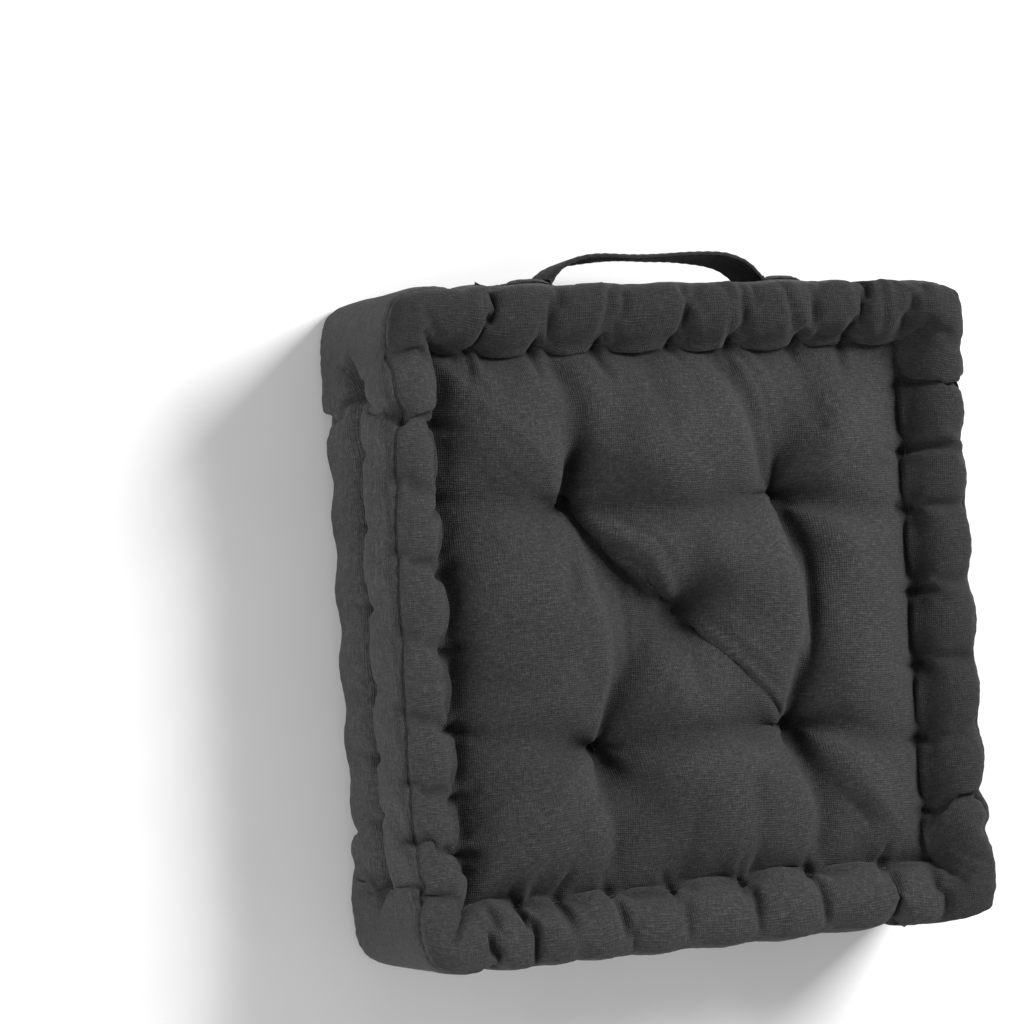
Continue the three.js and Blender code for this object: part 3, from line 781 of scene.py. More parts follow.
def panel_piece(name, grid, u, v, seed, out, flip, node, painted_shading):
    """A face panel with its seam allowance turned in."""
    a = len(grid)
    ids = np.arange(a * a).reshape(a, a)
    verts = [grid.reshape(-1, 3)]
    weave = [np.stack([u.ravel(), v.ravel(), np.full(u.size, seed)], 1)]
    e = PANEL - np.maximum(np.abs(u), np.abs(v))
    wear = [np.exp(-((e - 0.0035) / 0.004) ** 2).ravel()]
    painted_shading_parts = [painted_shading.ravel()]
    faces = [quads_of(ids)[:, ::flip]]
    edge = ids[ring[:, 0], ring[:, 1]]
    seam = grid[ring[:, 0], ring[:, 1]]
    inward = np.array([0, 0, -1.0 if flip > 0 else 1.0])
    last, count = edge, a * a
    for depth in (0.0022, 0.0060):
        p = seam - out * depth + inward * 0.0003
        new = np.arange(count, count + len(edge))
        count += len(edge)
        verts.append(p)
        weave.append(weave[0][edge])
        wear.append(np.zeros(len(edge)))
        # the turned-in seam allowance is painted darker: painted shade in the seam
        painted_shading_parts.append(np.full(len(edge), -0.1))
        q = np.stack([last, np.roll(last, -1), np.roll(new, -1), new], 1)
        faces.append(q[:, ::-1] if flip > 0 else q)
        last = new
    ob = piece(name, np.concatenate(verts), np.concatenate(faces), attributes={
        "weave": np.concatenate(weave), "wear": np.concatenate(wear), "painted_shading": np.concatenate(painted_shading_parts)})
    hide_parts(node)
    return ob


cover_top = panel_piece("cover_upper_face", TOP, FU, FV, 0.0, upper_out, 1, "top_panel", PAINTED_SHADING[0])
cover_bottom = panel_piece("cover_lower_face", BOTTOM, FU, FV, 3.1, lower_out, -1, "bottom_panel", PAINTED_SHADING[1])

band_rows = [upper_seam - upper_out * 0.0060 - np.array([0, 0, 0.0003]), upper_seam - upper_out * 0.0022 - np.array([0, 0, 0.0003])]
band_end = [lower_seam - lower_out * 0.0022 + np.array([0, 0, 0.0003]), lower_seam - lower_out * 0.0060 + np.array([0, 0, 0.0003])]
full = np.concatenate([np.stack(band_rows), BAND_GRID, np.stack(band_end)])
fs = np.concatenate([BS[:1], BS[:1], BS, BS[:1], BS[:1]])
fw = np.concatenate([BW[:1], BW[:1], BW, BW[-1:], BW[-1:]])
# the band is joined at its first column: the weave coordinate doesn't run back across it
full = np.concatenate([full, full[:, :1]], 1)
fs = np.concatenate([fs, fs[:, :1] + 8 * PANEL], 1)
fw = np.concatenate([fw, fw[:, :1]], 1)
# the band's painted light and shade, repeated on its turned-in rows
ft = np.concatenate([PAINTED_SHADING[2][:1], PAINTED_SHADING[2][:1], PAINTED_SHADING[2], PAINTED_SHADING[2][-1:], PAINTED_SHADING[2][-1:]])
ft = np.concatenate([ft, ft[:, :1]], 1)
ids = np.arange(full.shape[0] * full.shape[1]).reshape(full.shape[:2])
band_e = BAND - np.abs(fw)
cover_side = piece("cover_side_band", full.reshape(-1, 3), quads_of(ids), attributes={
    "weave": np.stack([fs.ravel(), fw.ravel(), np.full(fs.size, 6.7)], 1), "painted_shading": ft.ravel(),
    "wear": np.exp(-((band_e - 0.0035) / 0.004) ** 2).ravel() * (np.arange(len(fs)) > 1)[:, None].repeat(fs.shape[1], 1).ravel()})
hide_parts("side_band")

# the filling: the same shape, a little smaller all round
mesh = bpy.data.meshes.new("core")
mesh.from_pydata(coarse.tolist(), [], coarse_faces.tolist())
mesh.update()
normals = np.zeros(len(coarse) * 3, np.float32)
mesh.vertices.foreach_get("normal", normals)
bpy.data.meshes.remove(mesh)
inner = coarse - normals.reshape(-1, 3) * 0.0095
inner[:, 2] = np.clip(inner[:, 2], 0.006, 0.2)
core = piece("loose_fibre_filling", inner, coarse_faces)
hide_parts("fibre_filling")


# ------------------------------------------------------------------ threads
def frames_along(points):
    p = np.asarray(points, float)
    d = np.gradient(p, axis=0)
    d = unit(d)
    start = np.array([0, 0, 1.0]) if abs(d[0][2]) < 0.9 else np.array([1.0, 0, 0])
    n = unit(start - d[0] * (start @ d[0]))
    out = []
    for k in range(len(p)):
        n = unit(n - d[k] * (n @ d[k]))
        out.append((n, np.cross(d[k], n)))
    return p, out


def yarn(points, radius, lay=0.004, plies=2, sides=8, closed=False, groove=0.22):
    """A twisted yarn along points: its section has one bump for each ply, turning with the lay."""
    p, f = frames_along(points)
    s = np.concatenate([[0], np.cumsum(np.linalg.norm(np.diff(p, axis=0), axis=1))])
    a = 2 * np.pi * np.arange(sides) / sides
    verts = []
    for k in range(len(p)):
        r = radius * (1 - groove / 2 + groove / 2 * np.cos(plies * (a - 2 * np.pi * s[k] / lay / plies)))
        n, b = f[k]
        verts.append(p[k] + r[:, None] * (np.cos(a)[:, None] * n + np.sin(a)[:, None] * b))
    verts = np.stack(verts)
    ids = np.arange(len(p) * sides).reshape(len(p), sides)
    q = quads_of(ids, closed=True)[:, ::-1].tolist()
    if closed:
        last, first = ids[-1], ids[0]
        q += [[int(x) for x in (last[(j + 1) % sides], first[(j + 1) % sides], first[j], last[j])] for j in range(sides)]
    else:
        q += [list(map(int, ids[0])), list(map(int, ids[-1][::-1]))]
    return verts.reshape(-1, 3), q


def joined(parts):
    verts, faces, base = [], [], 0
    for v, f in parts:
        verts.append(v)
        faces += [[i + base for i in q] for q in f]
        base += len(v)
    return np.concatenate(verts), faces


def curve_through(points, spacing):
    """Points along a smooth curve through the given ones, about spacing apart."""
    p = np.asarray(points, float)
    q = refine(p, 12)
    s = np.concatenate([[0], np.cumsum(np.linalg.norm(np.diff(q, axis=0), axis=1))])
    t = np.linspace(0, s[-1], max(3, int(s[-1] / spacing)))
    return np.stack([np.interp(t, s, q[:, c]) for c in range(3)], 1)


def nearest_fine(m):
    return int(np.clip(round((m + PANEL) / (2 * PANEL) * CF), 1, CF - 1))


# the seam threads lie along the bottom of each seam, biting at every stitch
def seam_thread(name, seam, out, node):
    q = np.concatenate([seam, seam[:1]]) + np.concatenate([out, out[:1]]) * 0.0001
    s = np.concatenate([[0], np.cumsum(np.linalg.norm(np.diff(q, axis=0), axis=1))])
    count = int(s[-1] / 0.0012)
    t = np.linspace(0, s[-1], count, endpoint=False)
    p = np.stack([np.interp(t, s, q[:, c]) for c in range(3)], 1)
    o = np.stack([np.interp(t, s, np.concatenate([out, out[:1]])[:, c]) for c in range(3)], 1)
    bite = np.abs(np.sin(np.pi * t / 0.0042)) ** 0.6
    p = p + unit(o) * (0.00055 * bite - 0.00035)[:, None]
    v, f = yarn(p, 0.00042, lay=0.0016, sides=6, closed=True)
    ob = piece(name, v, f)
    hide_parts(node)
    return ob


threads = [seam_thread("upper_seam_stitching", upper_seam, upper_out, "upper_seam_thread"),
           seam_thread("lower_seam_stitching", lower_seam, lower_out, "lower_seam_thread")]


# the roll stitches: in the groove, through the filling, out at the side, and back
def roll_stitching(side, up):
    o = np.array(OUTWARD[side], float)
    g = flat_at(GROOVE)
    index = SIDES.index(side)
    grid, normal = (TOP, n_top) if up > 0 else (BOTTOM, n_bottom)
    stops = []
    for t in [-165] + sorted(FACE_TIES[side]):
        m = float(flat_at(t / 1000)) + (0.001 if t > -165 else 0.003)
        pts = []
        for d in (-0.0042, -0.0022, 0, 0.0022, 0.0042):
            u, v = o[0] * g + abs(o[1]) * (m + d), o[1] * g + abs(o[0]) * (m + d)
            i, j = nearest_fine(u), nearest_fine(v)
            pts.append(grid[i, j] + normal[i, j] * (0.0001 - 55 * d * d))
        stops.append((m, pts))
    for t in sorted(SIDE_TIES[side]):
        m = float(flat_at(t / 1000)) + 0.001
        pts = []
        for d in (-0.0042, -0.0022, 0, 0.0022, 0.0042):
            c = (index * 2 * PANEL + (PANEL + m + d if index < 2 else PANEL - m - d)) / (8 * PANEL) * around
            c = int(round(c)) % around
            r = rows // 2 - (1 if up > 0 else -1)
            pts.append(BAND_GRID[r, c] + n_band[r, c] * (0.0002 - 55 * d * d))
        stops.append((m, pts))
    stops.sort(key=lambda x: x[0])
    path = []
    for m, pts in stops:
        if path:
            a, b = np.array(path[-1]), np.array(pts[0])
            path += [a + (b - a) * s for s in (0.15, 0.5, 0.85)]
        path += pts
    v, f = yarn(curve_through(path, 0.0016), 0.00075, lay=0.0034)
    ob = piece(("upper" if up > 0 else "lower") + "_roll_stitching_" + side, v, f)
    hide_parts(("upper" if up > 0 else "lower") + "_roll_twine_" + side)
    return ob


for side in SIDES:
    for up in (1, -1):
        threads.append(roll_stitching(side, up))


# each tuft: a doubled twine through the cushion, knotted over both faces
def tuft_knot(i):
    x, y = TUFTS[i]
    iu, iv = nearest_fine(float(flat_at(x / 1000))), nearest_fine(float(flat_at(y / 1000)))
    parts = []
    turn = rng.uniform(0, 2 * math.pi)
    ends = []
    for grid, sign in ((TOP, 1), (BOTTOM, -1)):
        c = grid[iu, iv]
        ends.append(c + np.array([0, 0, -sign * 0.001]))
        t = np.linspace(0, 2 * np.pi, 60, endpoint=False)
        knot = np.stack([np.sin(t) + 2 * np.sin(2 * t), np.cos(t) - 2 * np.cos(2 * t), -np.sin(3 * t) * 0.9], 1)
        knot = knot / 3 * np.array([0.0019, 0.0019, 0.0015])
        ca, sa = math.cos(turn), math.sin(turn)
        knot = np.stack([knot[:, 0] * ca - knot[:, 1] * sa, knot[:, 0] * sa + knot[:, 1] * ca, knot[:, 2] * sign], 1)
        parts.append(yarn(knot + c + np.array([0, 0, sign * 0.0016]), 0.00072, lay=0.003, closed=True))
        for k in range(2):
            a = turn + 1.1 + 2.4 * k
            d = np.array([math.cos(a), math.sin(a), 0])
            tail = [c + d * 0.001 + np.array([0, 0, sign * 0.0016]), c + d * 0.0032 + np.array([0, 0, sign * 0.0028]),
                    c + d * 0.0052 + np.array([0, 0, sign * 0.0042]), c + d * 0.0064 + np.array([0, 0, sign * 0.0060])]
            parts.append(yarn(curve_through(tail, 0.0005), 0.0006, lay=0.003))
    a, b = ends
    for k in (-1, 1):
        d = np.array([0.0007 * k * math.cos(turn), 0.0007 * k * math.sin(turn), 0])
        parts.append(yarn(np.linspace(a + d, b + d, 14), 0.0006, lay=0.003))
    v, f = joined(parts)
    ob = piece(f"tuft_twine_{i + 1}", v, f)
    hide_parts(f"tuft_tie_{i + 1}")
    return ob


for i in range(5):
    threads.append(tuft_knot(i))

# ------------------------------------------------------------------ handle
strap_lo, strap_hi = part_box("handle_strap")
end_lo, end_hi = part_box("handle_end_right")
STRAP_W = strap_hi.z - strap_lo.z
STRAP_T = 0.0030
REACH = strap_hi.y - OY - STRAP_T / 2
Z0 = (strap_lo.z + strap_hi.z) / 2
cloth_tree = BVHTree.FromPolygons([Vector(p) for p in full.reshape(-1, 3)], quads_of(ids).tolist())


def side_at(x, z):
    """How far the cloth stands out on the handle side, at x and z."""
    hit = cloth_tree.ray_cast(Vector((x, 0.30, z)), Vector((0, -1, 0)))
    return hit[0].y if hit[0] is not None else 0.2


def sample_side(xs, zs):
    return np.array([[side_at(x, z) for z in zs] for x in xs])


def stitch(a, b, out, radius=0.00034):
    """One short stitch lying from a to b and bowed up along out."""
    a, b, out = np.array(a), np.array(b), np.array(out)
    t = np.linspace(0, 1, 6)
    p = a + (b - a) * t[:, None] + out * (0.0005 * np.sin(np.pi * t) - 0.00015)[:, None]
    return yarn(p, radius, lay=0.0015, sides=6)


def stitch_run(points, outs, pitch=0.0031, gap=0.22):
    p = np.asarray(points)
    o = np.asarray(outs)
    s = np.concatenate([[0], np.cumsum(np.linalg.norm(np.diff(p, axis=0), axis=1))])
    at = lambda q, d: np.array([np.interp(d, s, q[:, c]) for c in range(3)])
    parts = []
    count = int(s[-1] / pitch)
    for k in range(count):
        a, b = k * s[-1] / count, (k + 1 - gap) * s[-1] / count
        parts.append(stitch(at(p, a), at(p, b), at(o, (a + b) / 2)))
    return parts


# centre line of the loop, seen from above, from one sewn end to the other
half = [(-0.0750, 0.2050), (-0.0722, 0.2088), (-0.0672, 0.2136), (-0.0595, 0.2178), (-0.0465, 0.2210), (-0.0250, 0.2223)]
bow = half + [(0, REACH)] + [(-x, y) for x, y in half[::-1]]
path2 = curve_through([(x, y, 0) for x, y in bow], 0.0018)[:, :2]
steps = len(path2)
tangent = unit(np.gradient(path2, axis=0))
across = np.stack([-tangent[:, 1], tangent[:, 0]], 1)      # to the outer side of the loop
if across[steps // 2][1] < 0:
    across = -across
s_path = np.concatenate([[0], np.cumsum(np.linalg.norm(np.diff(path2, axis=0), axis=1))])

# section of the strap: four layers of cloth, folded edges, pinched by two rows of stitches
section = []
half_w, half_t = STRAP_W / 2, STRAP_T / 2
flat_n = 17
for k in range(flat_n):
    w = -half_w + 0.0016 + (STRAP_W - 0.0032) * k / (flat_n - 1)
    section.append((w, 1))
for k in range(1, 5):
    a = math.pi / 2 - math.pi * k / 5
    section.append((half_w - 0.0016 + 0.0016 * math.cos(a), math.sin(a)))
for k in range(flat_n):
    w = half_w - 0.0016 - (STRAP_W - 0.0032) * k / (flat_n - 1)
    section.append((w, -1))
for k in range(1, 5):
    a = -math.pi / 2 - math.pi * k / 5
    section.append((-half_w + 0.0016 + 0.0016 * math.cos(a), math.sin(a)))
section = np.array(section)
ROW_IN = 0.0034                 # stitch rows from the strap's edges


def strap_point(k, w, face):
    """A point of the strap at step k, w across its width and face -1 (inner) to 1 (outer)."""
    pinch = math.exp(-((half_w - abs(w) - ROW_IN) / 0.0012) ** 2)
    t = half_t * (1 - 0.35 * pinch)
    wave = 0.0005 * value_noise(np.array(s_path[k] / 0.022), np.array(w / 0.02 + 4), 61) + 0.0011 * math.sin(
        s_path[k] / s_path[-1] * 2 * math.pi * 1.5 + 0.6) * (w / half_w)
    pucker = 0.00018 * math.sin(2 * math.pi * s_path[k] / 0.0065 + w * 90) * math.exp(-((half_w - abs(w)) / 0.006) ** 2)
    base = path2[k] + across[k] * (face * t + float(wave) + pucker)
    sag = -0.0012 * math.sin(math.pi * s_path[k] / s_path[-1])
    x, y = base
    z = Z0 + w + sag
    edge = min(k, steps - 1 - k)
    if edge < 9:
        floor = side_at(x, z) + (0.0034 if face > 0 else 0.0006)
        y = max(y, floor * (1 - edge / 9) + min(y, floor) * (edge / 9)) if floor > 0.19 else y
    return (x, y, z)


verts = np.array([[strap_point(k, w, f) for w, f in section] for k in range(steps)])
ids_s = np.arange(steps * len(section)).reshape(steps, len(section))
faces = quads_of(ids_s, closed=True).tolist()
faces += [ids_s[0].tolist()[::-1], ids_s[-1].tolist()]
weave = np.stack([np.repeat(s_path, len(section)), np.tile(section[:, 0] + 0.05 * (section[:, 1] < 0), steps),
                  np.full(steps * len(section), 9.3)], 1)
wear = np.tile(np.clip(1 - (half_w - np.abs(section[:, 0])) / 0.0025, 0, 1), steps)
strap = piece("carrying_strap", verts.reshape(-1, 3), faces, body=None, attributes={"weave": weave, "wear": wear})
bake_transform(strap)
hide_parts("handle_strap")

parts = []
for w in (half_w - ROW_IN, -half_w + ROW_IN):
    for f in (1, -1):
        pts = [strap_point(k, w, f) for k in range(3, steps - 3)]
        outs = [(*(across[k] * f), 0) for k in range(3, steps - 3)]
        parts += stitch_run(pts, outs)
v, f = joined(parts)
strap_thread = piece("strap_edge_stitching", v, f, body=None)
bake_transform(strap_thread)
threads.append(strap_thread)


# the strap's sewn ends: folded under, lying on the side, boxed and crossed with stitches
def sewn_end(sign, name):
    x0, x1 = 0.0740, 0.1005
    nx, nz = 24, 26
    xs = np.linspace(x0, x1, nx)
    zs = np.linspace(Z0 - half_w, Z0 + half_w, nz)
    lie = sample_side(sign * xs, zs)
    for _ in range(10):
        lie = soften(lie, 0.8)
    lie = np.maximum(lie, sample_side(sign * xs, zs) + 0.0002)
    for _ in range(2):
        lie = soften(lie, 0.5)
    rim = np.minimum(np.minimum(np.arange(nx), nx - 1 - np.arange(nx))[:, None], np.minimum(np.arange(nz), nz - 1 - np.arange(nz))[None, :])
    X, Z = np.meshgrid(xs, zs, indexing="ij")
    bx0, bx1, bz = x0 + 0.0032, x1 - 0.0032, half_w - 0.0040
    d_box = np.minimum(np.minimum(np.abs(X - bx0), np.abs(X - bx1)), np.abs(np.abs(Z - Z0) - bz))
    mx = (bx0 + bx1) / 2
    k1 = bz / ((bx1 - bx0) / 2)
    d_cross = np.minimum(np.abs((Z - Z0) - k1 * (X - mx)), np.abs((Z - Z0) + k1 * (X - mx))) / math.hypot(1, k1)
    press = np.exp(-(np.minimum(d_box, d_cross) / 0.0011) ** 2)
    thick = 0.0030 * (1 - 0.35 * press) * np.where(rim == 0, 0.35, np.where(rim == 1, 0.85, 1)) + 0.00025 * value_noise(X / 0.006, Z / 0.006, 71)
    out = np.stack([sign * X, lie + thick, Z], -1)
    low = np.stack([sign * X, lie - 0.0006, Z], -1)
    ids = np.arange(nx * nz).reshape(nx, nz)
    upper = quads_of(ids)
    lower = quads_of(ids)[:, ::-1] + nx * nz
    loop = np.concatenate([ids[:, 0], ids[-1, 1:], ids[-2::-1, -1], ids[0, -2:0:-1]])
    wall = np.stack([loop, loop + nx * nz, np.roll(loop, -1) + nx * nz, np.roll(loop, -1)], 1)
    q = np.concatenate([upper, lower, wall[:, ::-1]])
    if sign > 0:
        q = q[:, ::-1]
    weave = np.concatenate([np.stack([X.ravel() + 0.3, Z.ravel(), np.full(X.size, 9.3)], 1)] * 2)
    wear = np.concatenate([(rim == 0).ravel() * 1.0, np.zeros(X.size)])
    ob = piece(f"strap_sewn_end_{name}", np.concatenate([out.reshape(-1, 3), low.reshape(-1, 3)]), q,
               attributes={"weave": weave, "wear": wear})
    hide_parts(f"handle_end_{name}")

    surface = lambda x, z: float(np.interp(z, zs, [np.interp(x, xs, (lie + thick)[:, c]) for c in range(nz)]))
    runs = []
    corners = [(bx0, Z0 - bz), (bx1, Z0 - bz), (bx1, Z0 + bz), (bx0, Z0 + bz), (bx0, Z0 - bz), (bx1, Z0 + bz)]
    legs = list(zip(corners[:-1], corners[1:])) + [((bx0, Z0 + bz), (bx1, Z0 - bz))]
    for (xa, za), (xb, zb) in legs:
        t = np.linspace(0, 1, 16)
        pts = [(sign * (xa + (xb - xa) * k), surface(xa + (xb - xa) * k, za + (zb - za) * k) + 0.0001, za + (zb - za) * k) for k in t]
        runs += stitch_run(pts, [(0, 1, 0)] * len(pts), pitch=0.0028)
    v, f = joined(runs)
    sewing = piece(f"strap_box_stitch_{name}", v, f)
    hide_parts(f"handle_stitch_{name}")
    threads.append(sewing)
    return ob


ends = [sewn_end(-1, "left"), sewn_end(1, "right")]


# ------------------------------------------------------------------ materials
class Nodes:
    def __init__(self, name):
        self.material = bpy.data.materials.new(name)
        self.material.use_nodes = True
        self.tree = self.material.node_tree
        self.shader = self.tree.nodes["Principled BSDF"]

    def node(self, kind, **values):
        n = self.tree.nodes.new(kind)
        for key, value in values.items():
            setattr(n, key, value)
        return n

    def link(self, a, b):
        self.tree.links.new(a, b)

    def put(self, socket, value):
        if isinstance(value, (int, float, tuple, list)):
            socket.default_value = value
        else:
            self.link(value, socket)

    def math(self, operation, a, b=None, c=None, clamp=False):
        n = self.node("ShaderNodeMath", operation=operation, use_clamp=clamp)
        for socket, value in zip(n.inputs, (a, b, c)):
            if value is not None:
                self.put(socket, value)
        return n.outputs[0]

    def vector(self, x, y, z):
        n = self.node("ShaderNodeCombineXYZ")
        for socket, value in zip(n.inputs, (x, y, z)):
            self.put(socket, value)
        return n.outputs[0]

    def noise(self, vector, scale=1.0, detail=2.0, roughness=0.5):
        n = self.node("ShaderNodeTexNoise", noise_dimensions="3D")
        self.put(n.inputs["Vector"], vector)
        n.inputs["Scale"].default_value = scale
        n.inputs["Detail"].default_value = detail
        n.inputs["Roughness"].default_value = roughness
        return n.outputs["Fac"]

    def ramp(self, value, stops, smooth_steps=False):
        n = self.node("ShaderNodeValToRGB")
        if smooth_steps:
            n.color_ramp.interpolation = "EASE"
        while len(n.color_ramp.elements) < len(stops):
            n.color_ramp.elements.new(0.5)
        for e, (at, colour) in zip(n.color_ramp.elements, stops):
            e.position = at
            e.color = (*colour, 1) if len(colour) == 3 else colour
        self.link(value, n.inputs["Fac"])
        return n.outputs["Color"]

    def mix(self, factor, a, b, blend="MIX"):
        n = self.node("ShaderNodeMix", data_type="RGBA", blend_type=blend)
        self.put(n.inputs[0], factor)
        for socket, value in ((n.inputs[6], a), (n.inputs[7], b)):
            self.put(socket, value if not isinstance(value, tuple) else (*value, 1)[:4])
        return n.outputs[2]


def cloth_material(name, painted_shading=1.0):
    """Plain-woven slubby cotton: every thread has its own shade and thickness."""
    m = Nodes(name)
    attr = m.node("ShaderNodeAttribute", attribute_name="weave")
    split = m.node("ShaderNodeSeparateXYZ")
    m.link(attr.outputs["Vector"], split.inputs[0])
    u, v, w = split.outputs
    # the threads wander a little
    wander = m.noise(m.vector(m.math("MULTIPLY", u, 22), m.math("MULTIPLY", v, 22), w), 1.0, 2.0)
    wander = m.math("MULTIPLY", m.math("SUBTRACT", wander, 0.5), 0.006)
    u2, v2 = m.math("ADD", u, wander), m.math("ADD", v, wander)
    warp_n, weft_n = 1 / WARP, 1 / WEFT
    warp = m.noise(m.vector(m.math("MULTIPLY", u2, warp_n), m.math("MULTIPLY", v2, 230), w), 1.0, 2.0, 0.6)
    weft = m.noise(m.vector(m.math("MULTIPLY", u2, 190), m.math("MULTIPLY", v2, weft_n), w), 1.0, 2.0, 0.6)
    slub = m.noise(m.vector(m.math("MULTIPLY", u2, 240), m.math("MULTIPLY", v2, weft_n * 0.7), m.math("ADD", w, 2.0)), 1.0, 1.0)
    slub2 = m.noise(m.vector(m.math("MULTIPLY", u2, warp_n * 0.7), m.math("MULTIPLY", v2, 260), m.math("ADD", w, 5.0)), 1.0, 1.0)
    fleck = m.noise(m.vector(m.math("MULTIPLY", u2, 900), m.math("MULTIPLY", v2, 900), w), 1.0, 2.0, 0.7)
    patch = m.noise(m.vector(m.math("MULTIPLY", u, 17), m.math("MULTIPLY", v, 17), w), 1.0, 3.0)
    # over and under: one bump for each crossing
    a = m.math("SINE", m.math("MULTIPLY", u2, 2 * math.pi * warp_n))
    b = m.math("SINE", m.math("MULTIPLY", v2, 2 * math.pi * weft_n))
    uneven = m.noise(m.vector(m.math("MULTIPLY", u2, 420), m.math("MULTIPLY", v2, 420), m.math("ADD", w, 9.0)), 1.0, 1.0)
    weave = m.math("MULTIPLY", m.math("ADD", m.math("MULTIPLY", a, 0.55), m.math("MULTIPLY", b, 0.85)), m.math("MULTIPLY", m.math("SUBTRACT", uneven, 0.15), 2.4))
    threads_value = m.math("ADD", m.math("MULTIPLY", warp, 0.42), m.math("MULTIPLY", weft, 0.58))
    slubs = m.math("MAXIMUM", m.math("SUBTRACT", slub, 0.62), m.math("SUBTRACT", slub2, 0.66))
    slubs = m.math("MULTIPLY", m.math("MAXIMUM", slubs, 0.0), 4.0, clamp=True)
    shade = m.math("ADD", threads_value, m.math("MULTIPLY", weave, 0.036))
    shade = m.math("ADD", shade, m.math("MULTIPLY", m.math("SUBTRACT", fleck, 0.5), 0.42))
    shade = m.math("ADD", shade, m.math("MULTIPLY", slubs, 0.12))
    shade = m.math("ADD", shade, m.math("MULTIPLY", m.math("SUBTRACT", patch, 0.5), 0.10))
    # painted light and shade from the mesh: lighter crests, darker hollows, darker rolls on the handle side and the
    # right
    painted_shading_node = m.node("ShaderNodeAttribute", attribute_name="painted_shading")
    shade = m.math("ADD", shade, painted_shading_node.outputs["Fac"])
    c = lambda k: tuple(x * k * painted_shading for x in CLOTH)
    colour = m.ramp(shade, [(0.28, c(0.50)), (0.46, c(0.85)), (0.58, c(1.18)), (0.76, c(2.0))])
    worn = m.node("ShaderNodeAttribute", attribute_name="wear")
    colour = m.mix(m.math("MULTIPLY", worn.outputs["Fac"], m.math("MULTIPLY", fleck, 0.45)), colour, c(1.8))
    m.link(colour, m.shader.inputs["Base Color"])
    rough = m.math("ADD", 0.84, m.math("MULTIPLY", threads_value, 0.2), clamp=True)
    m.link(rough, m.shader.inputs["Roughness"])
    m.shader.inputs["Specular IOR Level"].default_value = 0.25
    m.shader.inputs["Sheen Weight"].default_value = SHEEN
    m.shader.inputs["Sheen Roughness"].default_value = 0.45
    m.shader.inputs["Sheen Tint"].default_value = (0.62, 0.60, 0.61, 1)
    height = m.math("ADD", m.math("MULTIPLY", weave, 0.22), m.math("MULTIPLY", threads_value, 1.15))
    height = m.math("ADD", height, m.math("MULTIPLY", slubs, 0.45))
    height = m.math("ADD", height, m.math("MULTIPLY", fleck, 0.35))
    bump = m.node("ShaderNodeBump")
    bump.inputs["Strength"].default_value = 0.9
    bump.inputs["Distance"].default_value = 0.00080
    m.link(height, bump.inputs["Height"])
    m.link(bump.outputs[0], m.shader.inputs["Normal"])
    return m.material


WARP, WEFT = 0.00122, 0.00134   # spacing of the threads
CLOTH = (0.0300, 0.0287, 0.0293)
SHEEN = 0.10


def thread_material(name, colour, scale):
    """Twisted cotton thread: fibres run along it, some lighter."""
    m = Nodes(name)
    where = m.node("ShaderNodeTexCoord").outputs["Object"]
    fine = m.noise(where, scale, 3.0, 0.65)
    large = m.noise(where, scale / 12, 1.0)
    shade = m.math("ADD", m.math("MULTIPLY", fine, 0.7), m.math("MULTIPLY", large, 0.3))
    col = m.ramp(shade, [(0.32, tuple(x * 0.45 for x in colour)), (0.52, colour), (0.70, tuple(x * 2.0 for x in colour))])
    m.link(col, m.shader.inputs["Base Color"])
    m.link(m.math("ADD", 0.55, m.math("MULTIPLY", fine, 0.4)), m.shader.inputs["Roughness"])
    m.shader.inputs["Specular IOR Level"].default_value = 0.35
    m.shader.inputs["Sheen Weight"].default_value = 0.2
    bump = m.node("ShaderNodeBump")
    bump.inputs["Strength"].default_value = 0.6
    bump.inputs["Distance"].default_value = 0.0002
    m.link(fine, bump.inputs["Height"])
    m.link(bump.outputs[0], m.shader.inputs["Normal"])
    return m.material


def fibre_material():
    m = Nodes("loose_cotton_fibre")
    where = m.node("ShaderNodeTexCoord").outputs["Object"]
    curl = m.noise(where, 160, 4.0, 0.7)
    tuft = m.noise(where, 38, 2.0)
    col = m.ramp(m.math("ADD", m.math("MULTIPLY", curl, 0.6), m.math("MULTIPLY", tuft, 0.4)),
                 [(0.30, (0.42, 0.40, 0.35)), (0.55, (0.66, 0.64, 0.58)), (0.72, (0.80, 0.78, 0.72))])
    m.link(col, m.shader.inputs["Base Color"])
    m.link(m.math("ADD", 0.8, m.math("MULTIPLY", curl, 0.2), clamp=True), m.shader.inputs["Roughness"])
    bump = m.node("ShaderNodeBump")
    bump.inputs["Strength"].default_value = 0.8
    bump.inputs["Distance"].default_value = 0.002
    m.link(curl, bump.inputs["Height"])
    m.link(bump.outputs[0], m.shader.inputs["Normal"])
    return m.material


cloth_mat = cloth_material("woven_grey_cotton")
# the strap's cloth is painted 15% darker than the cover's: painted shade
strap_mat = cloth_material("woven_grey_cotton_strap", 0.85)
twine_mat = thread_material("dark_twisted_twine", (0.012, 0.0115, 0.0115), 1500)
sewing_mat = thread_material("sewing_thread", (0.034, 0.0325, 0.033), 2500)
seam_mat = thread_material("seam_thread", (0.012, 0.0115, 0.0118), 2500)
fibre_mat = fibre_material()
for ob in (cover_top, cover_bottom, cover_side):
    ob.data.materials.append(cloth_mat)
for ob in (strap, *ends):
    ob.data.materials.append(strap_mat)
core.data.materials.append(fibre_mat)
for ob in threads:
    if "seam" in ob.name:
        ob.data.materials.append(seam_mat)
    elif "roll" in ob.name or "tuft" in ob.name:
        ob.data.materials.append(twine_mat)
    else:
        ob.data.materials.append(sewing_mat)

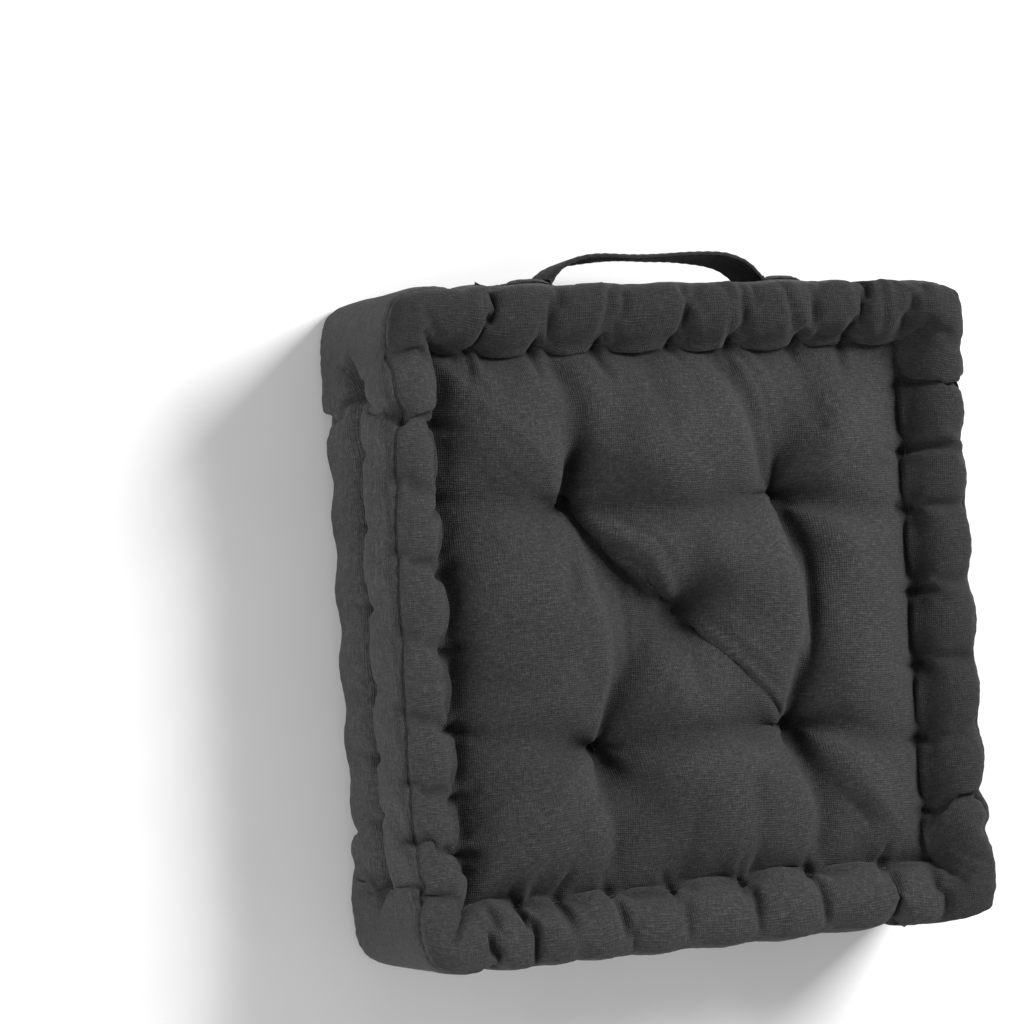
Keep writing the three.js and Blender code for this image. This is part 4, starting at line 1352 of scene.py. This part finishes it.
# ------------------------------------------------------------------ studio
bpy.ops.mesh.primitive_grid_add(x_subdivisions=8, y_subdivisions=8, size=8, location=(0, OY, -0.0004))
floor = bpy.context.object
floor.name = "studio_floor"
m = Nodes("pale_floor")
where = m.node("ShaderNodeTexCoord").outputs["Object"]
grain = m.noise(where, 9, 3.0)
m.link(m.ramp(grain, [(0.3, (0.80, 0.80, 0.80)), (0.7, (0.84, 0.84, 0.84))]), m.shader.inputs["Base Color"])
m.shader.inputs["Roughness"].default_value = 0.8
floor.data.materials.append(m.material)


def area_light(name, place, size, power, colour=(1, 1, 1)):
    data = bpy.data.lights.new(name, "AREA")
    data.shape = "SQUARE"
    data.size = size
    data.energy = power
    data.color = colour
    ob = bpy.data.objects.new(name, data)
    scene.collection.objects.link(ob)
    ob.location = Vector(place) + Vector((0, OY, 0))
    ob.rotation_mode = "QUATERNION"
    ob.rotation_quaternion = (Vector((0, OY, 0.04)) - ob.location).to_track_quat("-Z", "Y")
    return ob


LIGHTS = [
    ("softbox_key", (1.48, 1.10, 1.54), 0.9, 84),
    ("softbox_low_left", (-2.15, -0.70, 0.80), 1.1, 42),
]
for entry in LIGHTS:
    area_light(*entry)
world = bpy.data.worlds.new("studio_air")
scene.world = world
world.use_nodes = True
world.node_tree.nodes["Background"].inputs[0].default_value = (1, 1, 1, 1)
world.node_tree.nodes["Background"].inputs[1].default_value = 0.34
scene.view_settings.view_transform = "Standard"

# ------------------------------------------------------------------ camera
camera_data = bpy.data.cameras.new("camera")
camera_data.sensor_width = 36
camera_data.lens = 123.05
camera_data.clip_start, camera_data.clip_end = 0.05, 40
camera = bpy.data.objects.new("camera", camera_data)
scene.collection.objects.link(camera)
scene.camera = camera
back = -Vector((0.4432, 0.0224, -0.8962)).normalized()
right = Vector((0.0431, 0.998, 0.0463)).cross(back).normalized()
up = back.cross(right).normalized()
place = Vector((-1.0421, 0.0209 + OY, 1.9519))
camera.matrix_world = Matrix((
    (right.x, up.x, back.x, place.x), (right.y, up.y, back.y, place.y), (right.z, up.z, back.z, place.z), (0, 0, 0, 1)))
